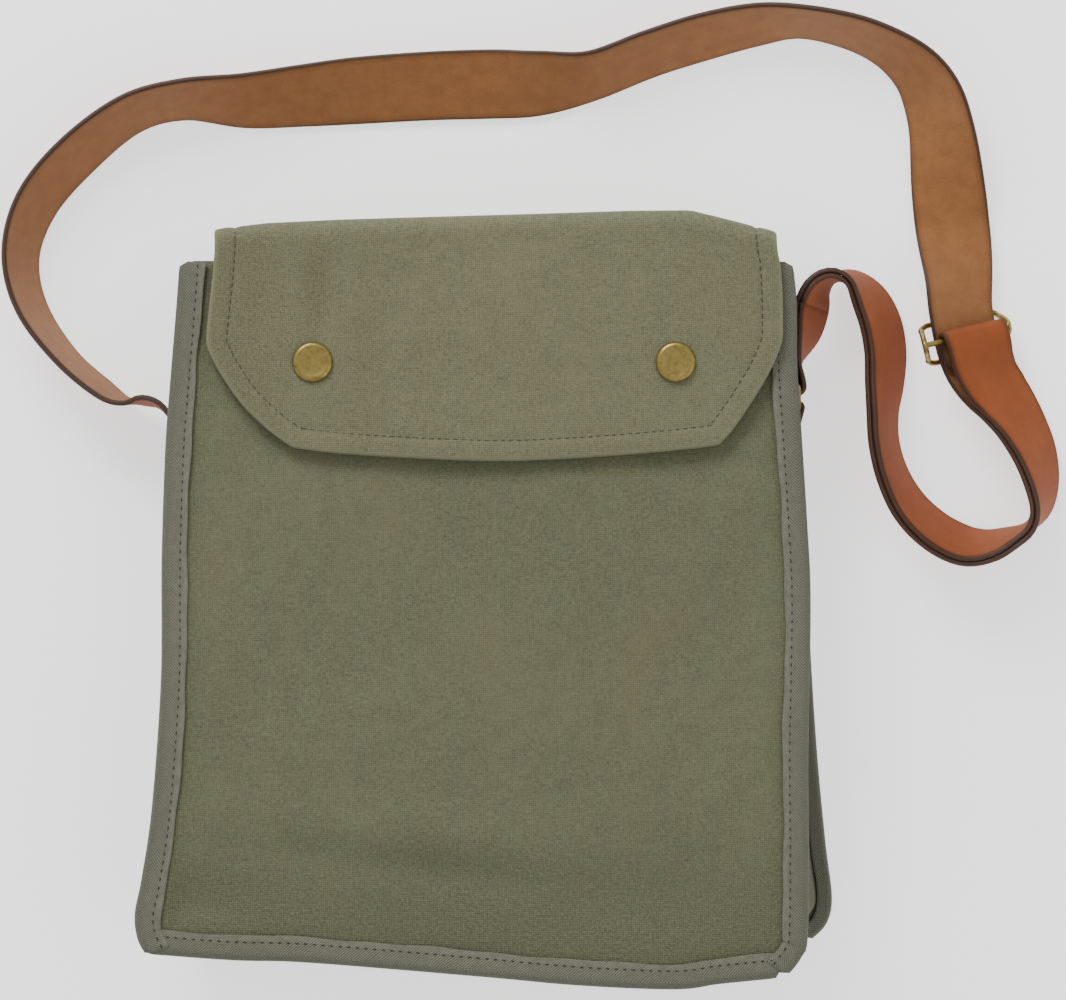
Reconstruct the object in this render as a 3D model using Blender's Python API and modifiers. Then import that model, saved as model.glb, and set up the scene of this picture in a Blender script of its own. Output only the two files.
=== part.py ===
"""Canvas messenger bag lying on its back, with its leather shoulder strap laid out around it.

Frame: X to the wearer's right of the front panel, Y from the bottom edge to the flap's fold, Z up
out of the front panel. The surface that the bag lies on is Z = 0. Sizes are in metres.
"""
import math

import bmesh
import bpy
from mathutils import Matrix, Vector

MM = 0.001
MERGE = 0.00005               # points of a turned piece closer than this are one
CUT_DEPTH = 0.012
PROBE = 0.001                # step that the strap's direction is measured over

# ---- driving dimensions -------------------------------------------------------------------
GAP = 0.0003                 # clearance between pieces that touch
TOP_Y = 0.1386               # mouth edge of the two panels
BOTTOM_Y = -0.1580           # lower edge of the seam bindings
TOP_HALF = 0.1295            # half width over the bindings at the mouth
BOTTOM_HALF = 0.1415         # half width over the bindings at the bottom
SEAM_HEIGHT = 0.0522         # over the front bindings, from the surface

CANVAS_T = 0.0014            # panel canvas
GUSSET_T = 0.0012            # gusset canvas
TAPE_T = 0.0010              # binding tape
TAPE_W = 0.0105              # binding seen on the face of the panel
TAPE_INNER_W = 0.0065        # binding on the gusset side
WALL_INSET = 0.0075          # gusset wall, in from the binding's outer edge
FOLD_DEPTH = 0.0080          # how far the gussets fold inward, low on the bag
FOLD_START = 0.012           # the fold begins this far up from the bottom
FOLD_RUN = 0.045             # and takes this long to reach its full depth
FOLD_FADE_Y = -0.030         # it fades out from here up, clear of the strap and the ring
FOLD_FADE = 0.050
BACK_SPAN = 0.050            # between the back panel's lowest flat rows
HEM_DEPTH = 0.018
BACK_SAG_MARGIN = 0.030      # the back panel lies flat on the surface this far in from its edge

FLAP_SHIFT = 0.0045          # the flap has settled this far to the right
FLAP_HALF = 0.1175
FLAP_FOLD_Y = 0.1580
FLAP_SIDE_Y = 0.1070         # where the chamfered corners begin
FLAP_END_Y = 0.0570
FLAP_CHAMFER_X = 0.0315
FLAP_OUTER_T = 0.0014
LINING_T = 0.0008
LINING_INSET = 0.0010
FLAP_LIFT = 0.0023           # lining over the front hem
FOLD_SETBACK = 0.0032        # flap cloth ends this far before the fold's axis
SPINE_T = 0.0018
SEAM_OFF_Y = 0.0019          # flap seam's axis, past the back panel's mouth edge
SEAM_Z = 0.0034

SNAP_X = 0.0753              # each snap, either side of the flap's middle
SNAP_Y = 0.0963
CAP_R = 0.0084
CAP_RISE = 0.0026
SNAP_R = 0.0065              # socket, stud base and backing washer
WASHER_T = 0.0010
SOCKET_WEB = 0.0006          # thickness of the socket round the cap's stem
STEM_R = 0.0015
STUD_R = 0.0024
STUD_CLEAR = 0.0008
STUD_HOLD = 0.0007           # how far the stud reaches into the socket

STRAP_W = 0.03175
STRAP_T = 0.0026
STRAP_GAP = 0.0008           # between the two layers of the doubled strap
LAYER = STRAP_T / 2 + STRAP_GAP / 2  # each layer's middle, from the middle of the doubled strap

RING_WIRE = 0.0015
RING_ROOM = 0.0015           # from the ring to the strap that passes behind it
RING_CORNER = 0.0025
RING_SLACK = 0.0008          # ring's room at each edge of the strap
RING_Y = 0.0775              # the bar held by the tab
RING_PITCH = 0.0090          # from that bar to the strap's bar
TAB_T = 0.0018
TAB_W = 0.0300
TAB_END_Y = 0.0420
TAB_STRAIGHT = 0.0040        # the tab runs straight this far past its upper rivet
RIVET_R = 0.0040
RIVET_HEAD = 0.0012
RIVET_TAIL = 0.0008
RIVET_CLEAR = 0.0003
RIVET_Y = (0.0470, 0.0590)

SLIDE_WIRE = 0.0012
SLIDE_HALF_LENGTH = 0.0080
SLIDE_SLACK = 0.0014
SLIDE_EASE = 0.0006          # extra room between the strap and the frame's end bars
SLIDE_BULGE = 0.0012
SLIDE_CORNER = 0.0030        # straight end bars stop this far short of the side rails

# ---- sizes that follow ---------------------------------------------------------------------
TAPE_TOP = SEAM_HEIGHT - TAPE_T / 2
FRONT_Z = SEAM_HEIGHT - TAPE_T - GAP - CANVAS_T / 2
FRONT_FLANGE_Z = FRONT_Z - CANVAS_T / 2 - GAP - GUSSET_T / 2
FRONT_TAPE_LOW = FRONT_FLANGE_Z - GUSSET_T / 2 - GAP - TAPE_T / 2
BACK_EDGE_Z = TAPE_T + GAP + CANVAS_T / 2
BACK_FLANGE_Z = BACK_EDGE_Z + CANVAS_T / 2 + GAP + GUSSET_T / 2
BACK_TAPE_HIGH = BACK_FLANGE_Z + GUSSET_T / 2 + GAP + TAPE_T / 2
EDGE_IN = TAPE_T + GAP                       # raw edges start this far inside the binding

LINING_Z = SEAM_HEIGHT + FLAP_LIFT + LINING_T / 2
FLAP_Z = LINING_Z + LINING_T / 2 + GAP + FLAP_OUTER_T / 2
FLAP_TOP = FLAP_Z + FLAP_OUTER_T / 2
SEAM_Y = TOP_Y + SEAM_OFF_Y

RING_INSIDE = STRAP_W + 2 * RING_SLACK
RING_LOW_Z = BACK_TAPE_HIGH + TAPE_T / 2 + GAP + RING_WIRE
RING_HIGH_Z = RING_LOW_Z + RING_INSIDE + 2 * RING_WIRE
STRAP_AT_RING = RING_LOW_Z + RING_WIRE + RING_SLACK      # the strap's lower edge in the ring
LOOP_R = RING_WIRE + GAP + STRAP_T / 2                    # the strap's turn round the ring's bar
BAR_RISE = LAYER + STRAP_T / 2 + GAP + SLIDE_WIRE         # the slide's bars, off the middle surface
FOLD_R = SLIDE_WIRE + GAP + STRAP_T / 2                   # the strap's fold round the centre bar

# ---- the strap's route ---------------------------------------------------------------------
# Millimetres and degrees: x, y of the strap's middle, its lean, and its lower edge's height.
# At lean 0 the strap lies flat; a positive lean raises its left-hand edge along the route.
LONG_ROUTE = [
    (-128.2, 36, 90, 8), (-128.2, 50, 90, 8), (-128.6, 62, 90, 8), (-130.6, 72, 91, 8),
    (-136.5, 79, 93, 7), (-144, 80.8, 94, 4.5), (-151, 80.4, 86, 2), (-160, 85, 78, 0.9),
    (-176.4, 99.1, 76, 0.7), (-191, 120, 71, 0.8), (-195.7, 142, 67, 0.9), (-189, 164.2, 61, 1),
    (-172.2, 184.4, 59, 1), (-149.5, 202, 63, 1), (-127, 208.2, 62, 1), (-101, 207.8, 48, 1.2),
    (-76.4, 210, 39, 1.3), (-52.5, 212.3, 31, 1.4), (-23.5, 214.2, 28, 1.4), (2.5, 215, 27, 1.4),
    (22, 215.2, 34, 1.4), (45, 218.2, 53, 1.2), (69.7, 227.5, 56, 1), (92.8, 234.8, 56, 1),
    (115, 239.8, 61, 0.9), (134, 241, 70, 0.8), (154.6, 236.9, 68, 0.8), (170.5, 230, 63, 0.9),
    (182.5, 220.5, 52, 1.1), (189.6, 209, 41, 1.3), (193.6, 194, 33, 1.4), (196.4, 171, 13, 2),
    (198.8, 150, -5, 3.4), (200.3, 134, -22, 5.6), (201.6, 120, -29, 6.6),
]
SLIDE_POINT = (203.7, 108.4, -29, 6.8)
DOUBLE_ROUTE = [
    (207, 98, -29, 6.6), (211.8, 90, -33, 5), (219, 81.8, -40, 3.4), (226, 71.5, -49, 2.4),
    (232, 59, -56, 1.9), (235.4, 46, -64, 1.5), (236, 34, -73, 1.1), (231.6, 26, -90, 0.5), (222, 22.2, -101, 0.9),
    (212, 19.8, -109, 1.4), (201.5, 20.2, -117, 1.8), (190, 26, -118, 1.8),
    (179.6, 36, -116, 1.7), (172.4, 49, -112, 1.5), (168.6, 63, -110, 1.4), (168, 76, -111, 1.4),
    (168.8, 88, -116, 1.7), (169.2, 101.6, -118, 2), (167, 114, -115, 2.1),
    (162, 124.6, -107, 2), (154, 131.6, -98, 2.8), (145.5, 133.2, -90, 4.6),
    (138.6, 129, -82, 6.8), (135.6, 120, -78, 8), (134.2, 110, -81, 9),
]
STATION = 0.0025             # spacing of the strap's cross lines
SPREAD_LEAD = 0.030          # the layers part over this length on either side of the slide
SPREAD_RUN = 0.020
TURN_LEAD = 0.012            # and this far before the ring
TAIL_START = 0.004           # the strap's folded end, past the slide's centre bar
TAIL_END = 0.010
RING_LEG = 0.0100            # straight run of the strap just before the ring


def half_width(y):
    """Half width over the bindings at a height up the bag."""
    share = (TOP_Y - y) / (TOP_Y - BOTTOM_Y)
    return TOP_HALF + (BOTTOM_HALF - TOP_HALF) * share


def wall_face(y):
    """Outer face of a side gusset's wall, as a distance from the middle."""
    return half_width(y) - WALL_INSET + GUSSET_T / 2


def ring_middle():
    """The ring stands in the gusset, or just outside the seams where it is too tall for them."""
    inside = wall_face(RING_Y + RING_PITCH) + GAP + STRAP_T + GAP + RING_WIRE + RING_ROOM
    if RING_HIGH_Z + RING_WIRE + GAP > FRONT_TAPE_LOW - TAPE_T / 2:
        return max(inside, half_width(RING_Y) + GAP + RING_WIRE)
    return inside


RING_X = ring_middle()


def clear_scene():
    """Remove the startup objects."""
    for obj in list(bpy.data.objects):
        bpy.data.objects.remove(obj, do_unlink=True)


def collection(name):
    """A new collection in the scene."""
    made = bpy.data.collections.new(name)
    bpy.context.scene.collection.children.link(made)
    return made


def finish(name, color, roughness, metallic=0.0):
    """A plain Principled material."""
    made = bpy.data.materials.new(name)
    made.use_nodes = True
    shader = made.node_tree.nodes["Principled BSDF"]
    shader.inputs["Base Color"].default_value = (*color, 1.0)
    shader.inputs["Roughness"].default_value = roughness
    shader.inputs["Metallic"].default_value = metallic
    return made


def add_object(name, mesh, material, home, origin=(0, 0, 0)):
    """Link a mesh, made in world coordinates, as an object whose origin is at a given point."""
    origin = Vector(origin)
    mesh.transform(Matrix.Translation(-origin))
    obj = bpy.data.objects.new(name, mesh)
    obj.location = origin
    obj.data.materials.clear()
    obj.data.materials.append(material)
    home.objects.link(obj)
    return obj


def solidify(obj, thickness):
    """Give an open sheet its thickness, half on either side."""
    wall = obj.modifiers.new("thickness", "SOLIDIFY")
    wall.thickness = thickness
    wall.offset = 0.0
    wall.use_even_offset = True
    return wall


def sheet(name, rows, thickness, material, home, origin=(0, 0, 0)):
    """A cloth or leather sheet lofted through rows of points, then given its thickness."""
    work = bmesh.new()
    grid = [[work.verts.new(point) for point in row] for row in rows]
    for low, high in zip(grid, grid[1:]):
        for a, b, c, d in zip(low, low[1:], high[1:], high):
            work.faces.new((a, b, c, d))
    mesh = bpy.data.meshes.new(name)
    work.to_mesh(mesh)
    work.free()
    obj = add_object(name, mesh, material, home, origin)
    solidify(obj, thickness)
    return obj


def turned(name, profile, place, material, home, axis="Z"):
    """A turned piece: (radius, height) points from top to bottom, spun about its own axis."""
    work = bmesh.new()
    points = [work.verts.new((radius, 0, height)) for radius, height in profile]
    for low, high in zip(points, points[1:]):
        work.edges.new((low, high))
    mesh = bpy.data.meshes.new(name)
    work.to_mesh(mesh)
    work.free()
    obj = bpy.data.objects.new(name, mesh)
    obj.data.materials.append(material)
    home.objects.link(obj)
    obj.location = place
    if axis == "X":
        obj.rotation_euler = (0, math.radians(90), 0)
    if axis == "-X":
        obj.rotation_euler = (0, math.radians(-90), 0)
    spin = obj.modifiers.new("turn", "SCREW")
    spin.steps = 32
    spin.render_steps = 32
    spin.use_merge_vertices = True
    spin.merge_threshold = MERGE
    return obj


def tube(name, points, radius, material, home, closed=False, origin=(0, 0, 0)):
    """A round bar along points."""
    curve = bpy.data.curves.new(name, "CURVE")
    curve.dimensions = "3D"
    curve.bevel_depth = radius
    curve.bevel_resolution = 2
    curve.use_fill_caps = True
    spline = curve.splines.new("POLY")
    spline.points.add(len(points) - 1)
    origin = Vector(origin)
    for knot, point in zip(spline.points, points):
        knot.co = (*(Vector(point) - origin), 1.0)
    spline.use_cyclic_u = closed
    obj = bpy.data.objects.new(name, curve)
    obj.location = origin
    obj.data.materials.append(material)
    home.objects.link(obj)
    return obj


def drill(obj, place, radius, axis, cutters):
    """Cut a round hole through a piece."""
    work = bmesh.new()
    bmesh.ops.create_cone(work, cap_ends=True, segments=24, radius1=radius, radius2=radius,
                          depth=CUT_DEPTH)
    mesh = bpy.data.meshes.new(obj.name + "_hole")
    work.to_mesh(mesh)
    work.free()
    cutter = bpy.data.objects.new(obj.name + "_hole", mesh)
    cutter.location = place
    if axis == "X":
        cutter.rotation_euler = (0, math.radians(90), 0)
    cutter.hide_render = True
    cutter.display_type = "WIRE"
    cutters.objects.link(cutter)
    cut = obj.modifiers.new("hole", "BOOLEAN")
    cut.operation = "DIFFERENCE"
    cut.solver = "EXACT"
    cut.object = cutter


def spread(low, high, count):
    """Evenly spaced values, ends included."""
    return [low + (high - low) * i / (count - 1) for i in range(count)]


def ease(share):
    """Smooth step from 0 to 1."""
    share = min(max(share, 0.0), 1.0)
    return share * share * (3 - 2 * share)


# ---- the bag's body ------------------------------------------------------------------------
def front_panel(canvas, home, cutters):
    """The flat front panel, with a hole for each stud's stem."""
    low = BOTTOM_Y + EDGE_IN
    rows = []
    for y in (low, TOP_Y):
        half = half_width(y) - EDGE_IN
        rows.append([(x, y, FRONT_Z) for x in spread(-half, half, 3)])
    obj = sheet("front_panel", rows, CANVAS_T, canvas, home)
    for side in (-1, 1):
        place = (FLAP_SHIFT + side * SNAP_X, SNAP_Y, FRONT_Z)
        drill(obj, place, STEM_R + GAP, "Z", cutters)


def back_height(x, y):
    """Middle of the back panel: up in its binding, down on the surface inside."""
    margins = (half_width(y) - abs(x), y - BOTTOM_Y)
    share = ease((min(margins) - TAPE_W - GAP) / BACK_SAG_MARGIN)
    return BACK_EDGE_Z + (CANVAS_T / 2 - BACK_EDGE_Z) * share


def back_panel(canvas, home):
    """The back panel, which sags on to the surface in its middle."""
    rows = []
    inner = TAPE_W + GAP
    ys = [BOTTOM_Y + EDGE_IN]
    ys += spread(BOTTOM_Y + inner, BOTTOM_Y + inner + BACK_SAG_MARGIN, 5)
    ys += spread(BOTTOM_Y + inner + BACK_SAG_MARGIN + BACK_SPAN, TOP_Y, 4)
    for y in ys:
        half = half_width(y)
        xs = [half - EDGE_IN]
        xs += spread(half - inner, half - inner - BACK_SAG_MARGIN, 5)
        across = [-x for x in xs] + [0.0] + xs[::-1]
        rows.append([(x, y, back_height(x, y)) for x in across])
    sheet("back_panel", rows, CANVAS_T, canvas, home)


def gusset_profile(depth):
    """(inset, height) points across a gusset, from its front flange to its back flange."""
    middle = (FRONT_FLANGE_Z + BACK_FLANGE_Z) / 2
    return [
        (EDGE_IN, FRONT_FLANGE_Z),
        (WALL_INSET, FRONT_FLANGE_Z),
        (WALL_INSET + depth, middle),
        (WALL_INSET, BACK_FLANGE_Z),
        (EDGE_IN, BACK_FLANGE_Z),
    ]


def side_fold(y):
    """How far a side gusset folds in: none at the strap and at the bottom corner."""
    rise = ease((y - BOTTOM_Y - FOLD_START) / FOLD_RUN)
    fade = 1 - ease((y - FOLD_FADE_Y) / FOLD_FADE)
    return FOLD_DEPTH * rise * fade


def side_gusset(name, side, canvas, home):
    """A side gusset, flanged outward into the front and back bindings."""
    rows = []
    for y in spread(BOTTOM_Y + TAPE_INNER_W + GAP, TOP_Y, 16):
        half = half_width(y)
        row = [(side * (half - inset), y, z) for inset, z in gusset_profile(side_fold(y))]
        rows.append(row)
    return sheet(name, rows, GUSSET_T, canvas, home)


def bottom_gusset(canvas, home):
    """The bottom gusset, between the walls of the two side gussets."""
    reach = half_width(BOTTOM_Y + WALL_INSET) - WALL_INSET - GUSSET_T / 2 - 2 * GAP
    rows = []
    for x in spread(-reach, reach, 15):
        depth = FOLD_DEPTH * ease((reach - abs(x)) / FOLD_RUN)
        rows.append([(x, BOTTOM_Y + inset, z) for inset, z in gusset_profile(depth)])
    sheet("bottom_gusset", rows, GUSSET_T, canvas, home)


def tape_profile(outer_z, inner_z):
    """(inset, height) points round a folded tape: face leg, rounded fold, gusset leg."""
    turn = TAPE_T / 2
    step = math.copysign(turn, outer_z - inner_z)
    return [
        (TAPE_W, outer_z),
        (2 * turn, outer_z),
        (turn, outer_z - step),
        (turn, inner_z + step),
        (2 * turn, inner_z),
        (TAPE_INNER_W, inner_z),
    ]


def bindings(tape, home):
    """Six folded tapes: left, bottom and right, on the front seam and on the back seam."""
    levels = {"front": (TAPE_TOP, FRONT_TAPE_LOW), "back": (TAPE_T / 2, BACK_TAPE_HIGH)}
    for seam, (outer_z, inner_z) in levels.items():
        profile = tape_profile(outer_z, inner_z)
        for side_name, side in (("left", -1), ("right", 1)):
            rows = []
            for y in (BOTTOM_Y + TAPE_W + GAP, TOP_Y):
                half = half_width(y)
                rows.append([(side * (half - inset), y, z) for inset, z in profile])
            sheet(f"{seam}_binding_{side_name}", rows, TAPE_T, tape, home)
        half = half_width(BOTTOM_Y)
        rows = [[(x, BOTTOM_Y + inset, z) for inset, z in profile] for x in (-half, half)]
        sheet(f"{seam}_binding_bottom", rows, TAPE_T, tape, home)


def mouth_hem(canvas, home):
    """Facing strip sewn inside the front panel's mouth edge."""
    z = FRONT_Z - CANVAS_T / 2 - GAP - TAPE_T / 2
    rows = []
    for y in (TOP_Y - HEM_DEPTH, TOP_Y):
        half = half_width(y) - WALL_INSET - GUSSET_T / 2 - 2 * GAP
        rows.append([(x, y, z) for x in spread(-half, half, 3)])
    sheet("mouth_hem", rows, TAPE_T, canvas, home)


# ---- the flap ------------------------------------------------------------------------------
def flap_rows(inset, z):
    """Rows of points over the flap's outline, from the fold to its end."""
    side_y = FLAP_SIDE_Y + inset / 2
    end_y = FLAP_END_Y + inset
    rows = []
    for y in (FLAP_FOLD_Y - FOLD_SETBACK, side_y, end_y):
        half = FLAP_HALF - inset
        if y == end_y:
            half -= FLAP_CHAMFER_X
        rows.append([(x, y, z) for x in spread(FLAP_SHIFT - half, FLAP_SHIFT + half, 3)])
    return rows


def flap(canvas, lining, home, cutters):
    """The flap's two layers and its spine, with the snap stems' holes."""
    fold = (0, FLAP_FOLD_Y, FLAP_TOP)
    outer = sheet("flap_outer", flap_rows(0.0, FLAP_Z), FLAP_OUTER_T, canvas, home, fold)
    inner = sheet("flap_lining", flap_rows(LINING_INSET, LINING_Z), LINING_T, lining, home, fold)
    for side in (-1, 1):
        x = FLAP_SHIFT + side * SNAP_X
        drill(outer, (x, SNAP_Y, FLAP_Z), STEM_R + GAP, "Z", cutters)
        drill(inner, (x, SNAP_Y, LINING_Z), STEM_R + GAP, "Z", cutters)
    seam = Vector((0, SEAM_Y, SEAM_Z))
    along = (Vector(fold) - seam).normalized()
    inward = Vector((0, -along.z, along.y))
    start = seam + along * SPINE_T / 2
    end = Vector(fold) + inward * SPINE_T / 2 - along * SPINE_T / 2
    rows = []
    for share in (0.0, 0.5, 1.0):
        at = start.lerp(end, share)
        half = FLAP_HALF
        rows.append([(x, at.y, at.z) for x in spread(FLAP_SHIFT - half, FLAP_SHIFT + half, 3)])
    sheet("flap_spine", rows, SPINE_T, canvas, home, seam)


def snaps(brass, home):
    """Two press snaps: cap and socket on the flap, stud and backing washer on the front."""
    socket_low = SEAM_HEIGHT + GAP
    socket_top = LINING_Z - LINING_T / 2 - GAP
    base_low = FRONT_Z + CANVAS_T / 2 + GAP
    base_top = socket_low - GAP
    stud_top = socket_low + STUD_HOLD
    washer_top = FRONT_Z - CANVAS_T / 2 - GAP
    washer_low = washer_top - WASHER_T
    seat = FLAP_TOP + GAP
    for name, side in (("left", -1), ("right", 1)):
        at = (FLAP_SHIFT + side * SNAP_X, SNAP_Y, 0)
        dome = [(0.0, seat + CAP_RISE), (CAP_R * 0.55, seat + CAP_RISE * 0.93),
                (CAP_R * 0.85, seat + CAP_RISE * 0.66), (CAP_R, seat + CAP_RISE * 0.22),
                (CAP_R * 0.97, seat), (STEM_R, seat), (STEM_R, socket_top - SOCKET_WEB),
                (0.0, socket_top - SOCKET_WEB)]
        turned(f"{name}_cap", dome, at, brass, home)
        bore = STUD_R + STUD_CLEAR
        web = socket_top - SOCKET_WEB
        ring = [(STEM_R + GAP, socket_top), (SNAP_R, socket_top), (SNAP_R, socket_low),
                (bore, socket_low), (bore, web - GAP), (STEM_R + GAP, web - GAP),
                (STEM_R + GAP, socket_top)]
        turned(f"{name}_socket", ring, at, brass, home)
        post = [(0.0, stud_top), (STUD_R, stud_top), (STUD_R, base_top), (SNAP_R, base_top),
                (SNAP_R, base_low), (STEM_R, base_low), (STEM_R, washer_low), (0.0, washer_low)]
        turned(f"{name}_stud", post, at, brass, home)
        washer = [(STEM_R + GAP, washer_top), (SNAP_R, washer_top), (SNAP_R, washer_low),
                  (STEM_R + GAP, washer_low), (STEM_R + GAP, washer_top)]
        turned(f"{name}_stud_backing", washer, at, brass, home)


# ---- the strap's middle surface --------------------------------------------------------------
def catmull(before, start, end, after, share):
    """A point on the smooth curve between two route points."""
    out = []
    for a, b, c, d in zip(before, start, end, after):
        out.append(0.5 * (2 * b + (c - a) * share + (2 * a - 5 * b + 4 * c - d) * share ** 2
                          + (3 * b - a - 3 * c + d) * share ** 3))
    return out


class Route:
    """The strap's middle surface, read by distance along it."""

    def __init__(self, points, samples=10):
        """Sample the smooth curve through the points."""
        ends = [[2 * a - b for a, b in zip(points[0], points[1])]]
        tail = [[2 * a - b for a, b in zip(points[-1], points[-2])]]
        padded = ends + [list(point) for point in points] + tail
        self.rows = []
        for i in range(1, len(padded) - 2):
            for k in range(samples):
                four = padded[i - 1:i + 3]
                self.rows.append(catmull(*four, k / samples))
        self.rows.append(list(points[-1]))
        self.at = [0.0]
        for low, high in zip(self.rows, self.rows[1:]):
            self.at.append(self.at[-1] + math.dist(low[:2], high[:2]))
        self.length = self.at[-1]

    def read(self, distance):
        """x, y, lean and lift at a distance, straight on past either end."""
        i = 0
        while i < len(self.at) - 2 and self.at[i + 1] < distance:
            i += 1
        share = (distance - self.at[i]) / (self.at[i + 1] - self.at[i])
        low, high = self.rows[i], self.rows[i + 1]
        return [a + (b - a) * share for a, b in zip(low, high)]

    def frame(self, distance, width):
        """Point, direction, width direction and normal of the strap's middle surface."""
        x, y, lean, lift = self.read(distance)
        back = self.read(distance - PROBE)
        on = self.read(distance + PROBE)
        ahead = Vector((on[0] - back[0], on[1] - back[1], 0)).normalized()
        left = Vector((-ahead.y, ahead.x, 0))
        up = Vector((0, 0, 1))
        turn = math.radians(lean)
        across = left * math.cos(turn) + up * math.sin(turn)
        normal = up * math.cos(turn) - left * math.sin(turn)
        middle = Vector((x, y, lift + width / 2 * abs(math.sin(turn))))
        return middle, ahead, across, normal

    def nearest(self, x, y):
        """The distance along the route that comes nearest to a place."""
        gaps = [math.dist(row[:2], (x, y)) for row in self.rows]
        return self.at[gaps.index(min(gaps))]


def strap_route():
    """The whole route in metres, ending straight at the ring's bar."""
    ring_end = (RING_X, RING_Y + RING_PITCH, -90.0, STRAP_AT_RING)
    ring_run = (RING_X, RING_Y + RING_PITCH + RING_LEG, -88.0, STRAP_AT_RING)
    points = []
    for x, y, lean, lift in LONG_ROUTE + [SLIDE_POINT] + DOUBLE_ROUTE:
        points.append((x * MM, y * MM, lean, lift * MM))
    return Route(points + [ring_run, ring_end])


def strap_rows(route, path):
    """Rows of strap edges for (distance, offset) pairs along the middle surface."""
    rows = []
    for distance, offset in path:
        middle, _, across, normal = route.frame(distance, STRAP_W)
        centre = middle + normal * offset
        rows.append([centre - across * STRAP_W / 2, centre + across * STRAP_W / 2])
    return rows


def stations(route, start, end):
    """Distances that both layers of the strap are drawn at, so that they stay parallel."""
    count = int(route.length / STATION) + 1
    return [d for d in spread(0.0, route.length, count) if start <= d <= end]


def ring_turn(route):
    """Rows of strap edges round the ring's bar, from the long run to the returning run."""
    middle, ahead, across, normal = route.frame(route.length, STRAP_W)
    rows = []
    for angle in spread(15, 165, 7):
        turn = math.radians(angle)
        centre = middle + ahead * LOOP_R * math.sin(turn) - normal * LOOP_R * math.cos(turn)
        rows.append([centre - across * STRAP_W / 2, centre + across * STRAP_W / 2])
    return rows


def layer_offset(route, distance):
    """How far each layer of the doubled strap is from its middle surface."""
    return LAYER + (LOOP_R - LAYER) * ease(1 - (route.length - distance) / TURN_LEAD)


def long_strap(route, leather, home, cutters):
    """The strap from the left gusset, through the slide, round the ring's bar."""
    slide_at = route.nearest(SLIDE_POINT[0] * MM, SLIDE_POINT[1] * MM)
    path = []
    for distance in stations(route, 0.0, route.length):
        doubled = ease((distance - slide_at + SPREAD_LEAD) / SPREAD_RUN)
        path.append((distance, -doubled * layer_offset(route, distance)))
    rows = strap_rows(route, path) + ring_turn(route)
    strap = sheet("strap_long", rows, STRAP_T, leather, home)
    for y in RIVET_Y:
        place = route.frame(route.nearest(LONG_ROUTE[0][0] * MM, y), STRAP_W)[0]
        drill(strap, place, STEM_R + RIVET_CLEAR, "X", cutters)
    return slide_at


def return_strap(route, slide_at, leather, home):
    """The strap's returning run, from the ring to its folded end on the slide's centre bar."""
    run_end = slide_at + SPREAD_LEAD
    path = []
    top = BAR_RISE + FOLD_R
    for distance in stations(route, slide_at + TAIL_START / 2, route.length)[::-1]:
        share = ease((run_end - distance) / (run_end - slide_at - TAIL_START))
        path.append((distance, layer_offset(route, distance) + (top - LAYER) * share))
    rows = strap_rows(route, path)
    middle, ahead, across, normal = route.frame(slide_at, STRAP_W)
    for angle in spread(0, 165, 8):
        turn = math.radians(angle)
        centre = middle - ahead * FOLD_R * math.sin(turn)
        centre += normal * (BAR_RISE + FOLD_R * math.cos(turn))
        rows.append([centre - across * STRAP_W / 2, centre + across * STRAP_W / 2])
    rows += strap_rows(route, [(slide_at + TAIL_START, LAYER), (slide_at + TAIL_END, LAYER)])
    sheet("strap_return", rows, STRAP_T, leather, home)


# ---- hardware on the strap -------------------------------------------------------------------
def slide(route, slide_at, brass, home):
    """The slide: a frame whose end bars pass under the strap, and its raised centre bar."""
    middle, ahead, across, normal = route.frame(slide_at, STRAP_W)
    reach = STRAP_W / 2 + SLIDE_SLACK + SLIDE_WIRE
    bar = middle + normal * BAR_RISE
    low = -BAR_RISE - SLIDE_EASE

    def place(side, along, height):
        return middle + across * side + ahead * along + normal * height

    loop = []
    for end in (-1, 1):
        for share in spread(-1, 1, 3):
            loop.append(place(-end * share * (reach - SLIDE_CORNER), end * SLIDE_HALF_LENGTH, low))
        for share in spread(0.85, -0.85, 9):
            arch = math.cos(share * math.pi / 2) ** 2
            bulge = SLIDE_BULGE * abs(math.sin(share * math.pi))
            height = low + (BAR_RISE - low) * arch
            loop.append(place(-end * (reach + bulge), end * share * SLIDE_HALF_LENGTH, height))
    tube("slide_frame", loop, SLIDE_WIRE, brass, home, closed=True, origin=bar)
    inside = across * (reach - SLIDE_WIRE - GAP)
    tube("slide_bar", [bar - inside, bar + inside], SLIDE_WIRE, brass, home, origin=bar)


def ring_points():
    """The side ring's centre line: a rounded rectangle standing on edge."""
    corner = RING_CORNER
    points = []
    corners = [
        (RING_Y + RING_PITCH - corner, RING_HIGH_Z - corner, 0),
        (RING_Y + corner, RING_HIGH_Z - corner, 90),
        (RING_Y + corner, RING_LOW_Z + corner, 180),
        (RING_Y + RING_PITCH - corner, RING_LOW_Z + corner, 270),
    ]
    for y, z, start in corners:
        for step in range(5):
            turn = math.radians(start + 22.5 * step)
            points.append((RING_X, y + corner * math.cos(turn), z + corner * math.sin(turn)))
    return points


def tab_path():
    """The side tab's outline seen along Z: up the gusset, over the ring's bar and down again."""
    inner = wall_face(TAB_END_Y) + GAP + TAB_T / 2
    outer = inner + TAB_T + GAP
    radius = RING_WIRE + GAP + TAB_T / 2
    path = [(inner, TAB_END_Y), (inner, RIVET_Y[1] + TAB_STRAIGHT)]
    for angle in spread(180, 0, 9):
        turn = math.radians(angle)
        path.append((RING_X + radius * math.cos(turn), RING_Y + radius * math.sin(turn)))
    path += [(outer, RIVET_Y[1] + TAB_STRAIGHT), (outer, TAB_END_Y)]
    return path


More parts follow.
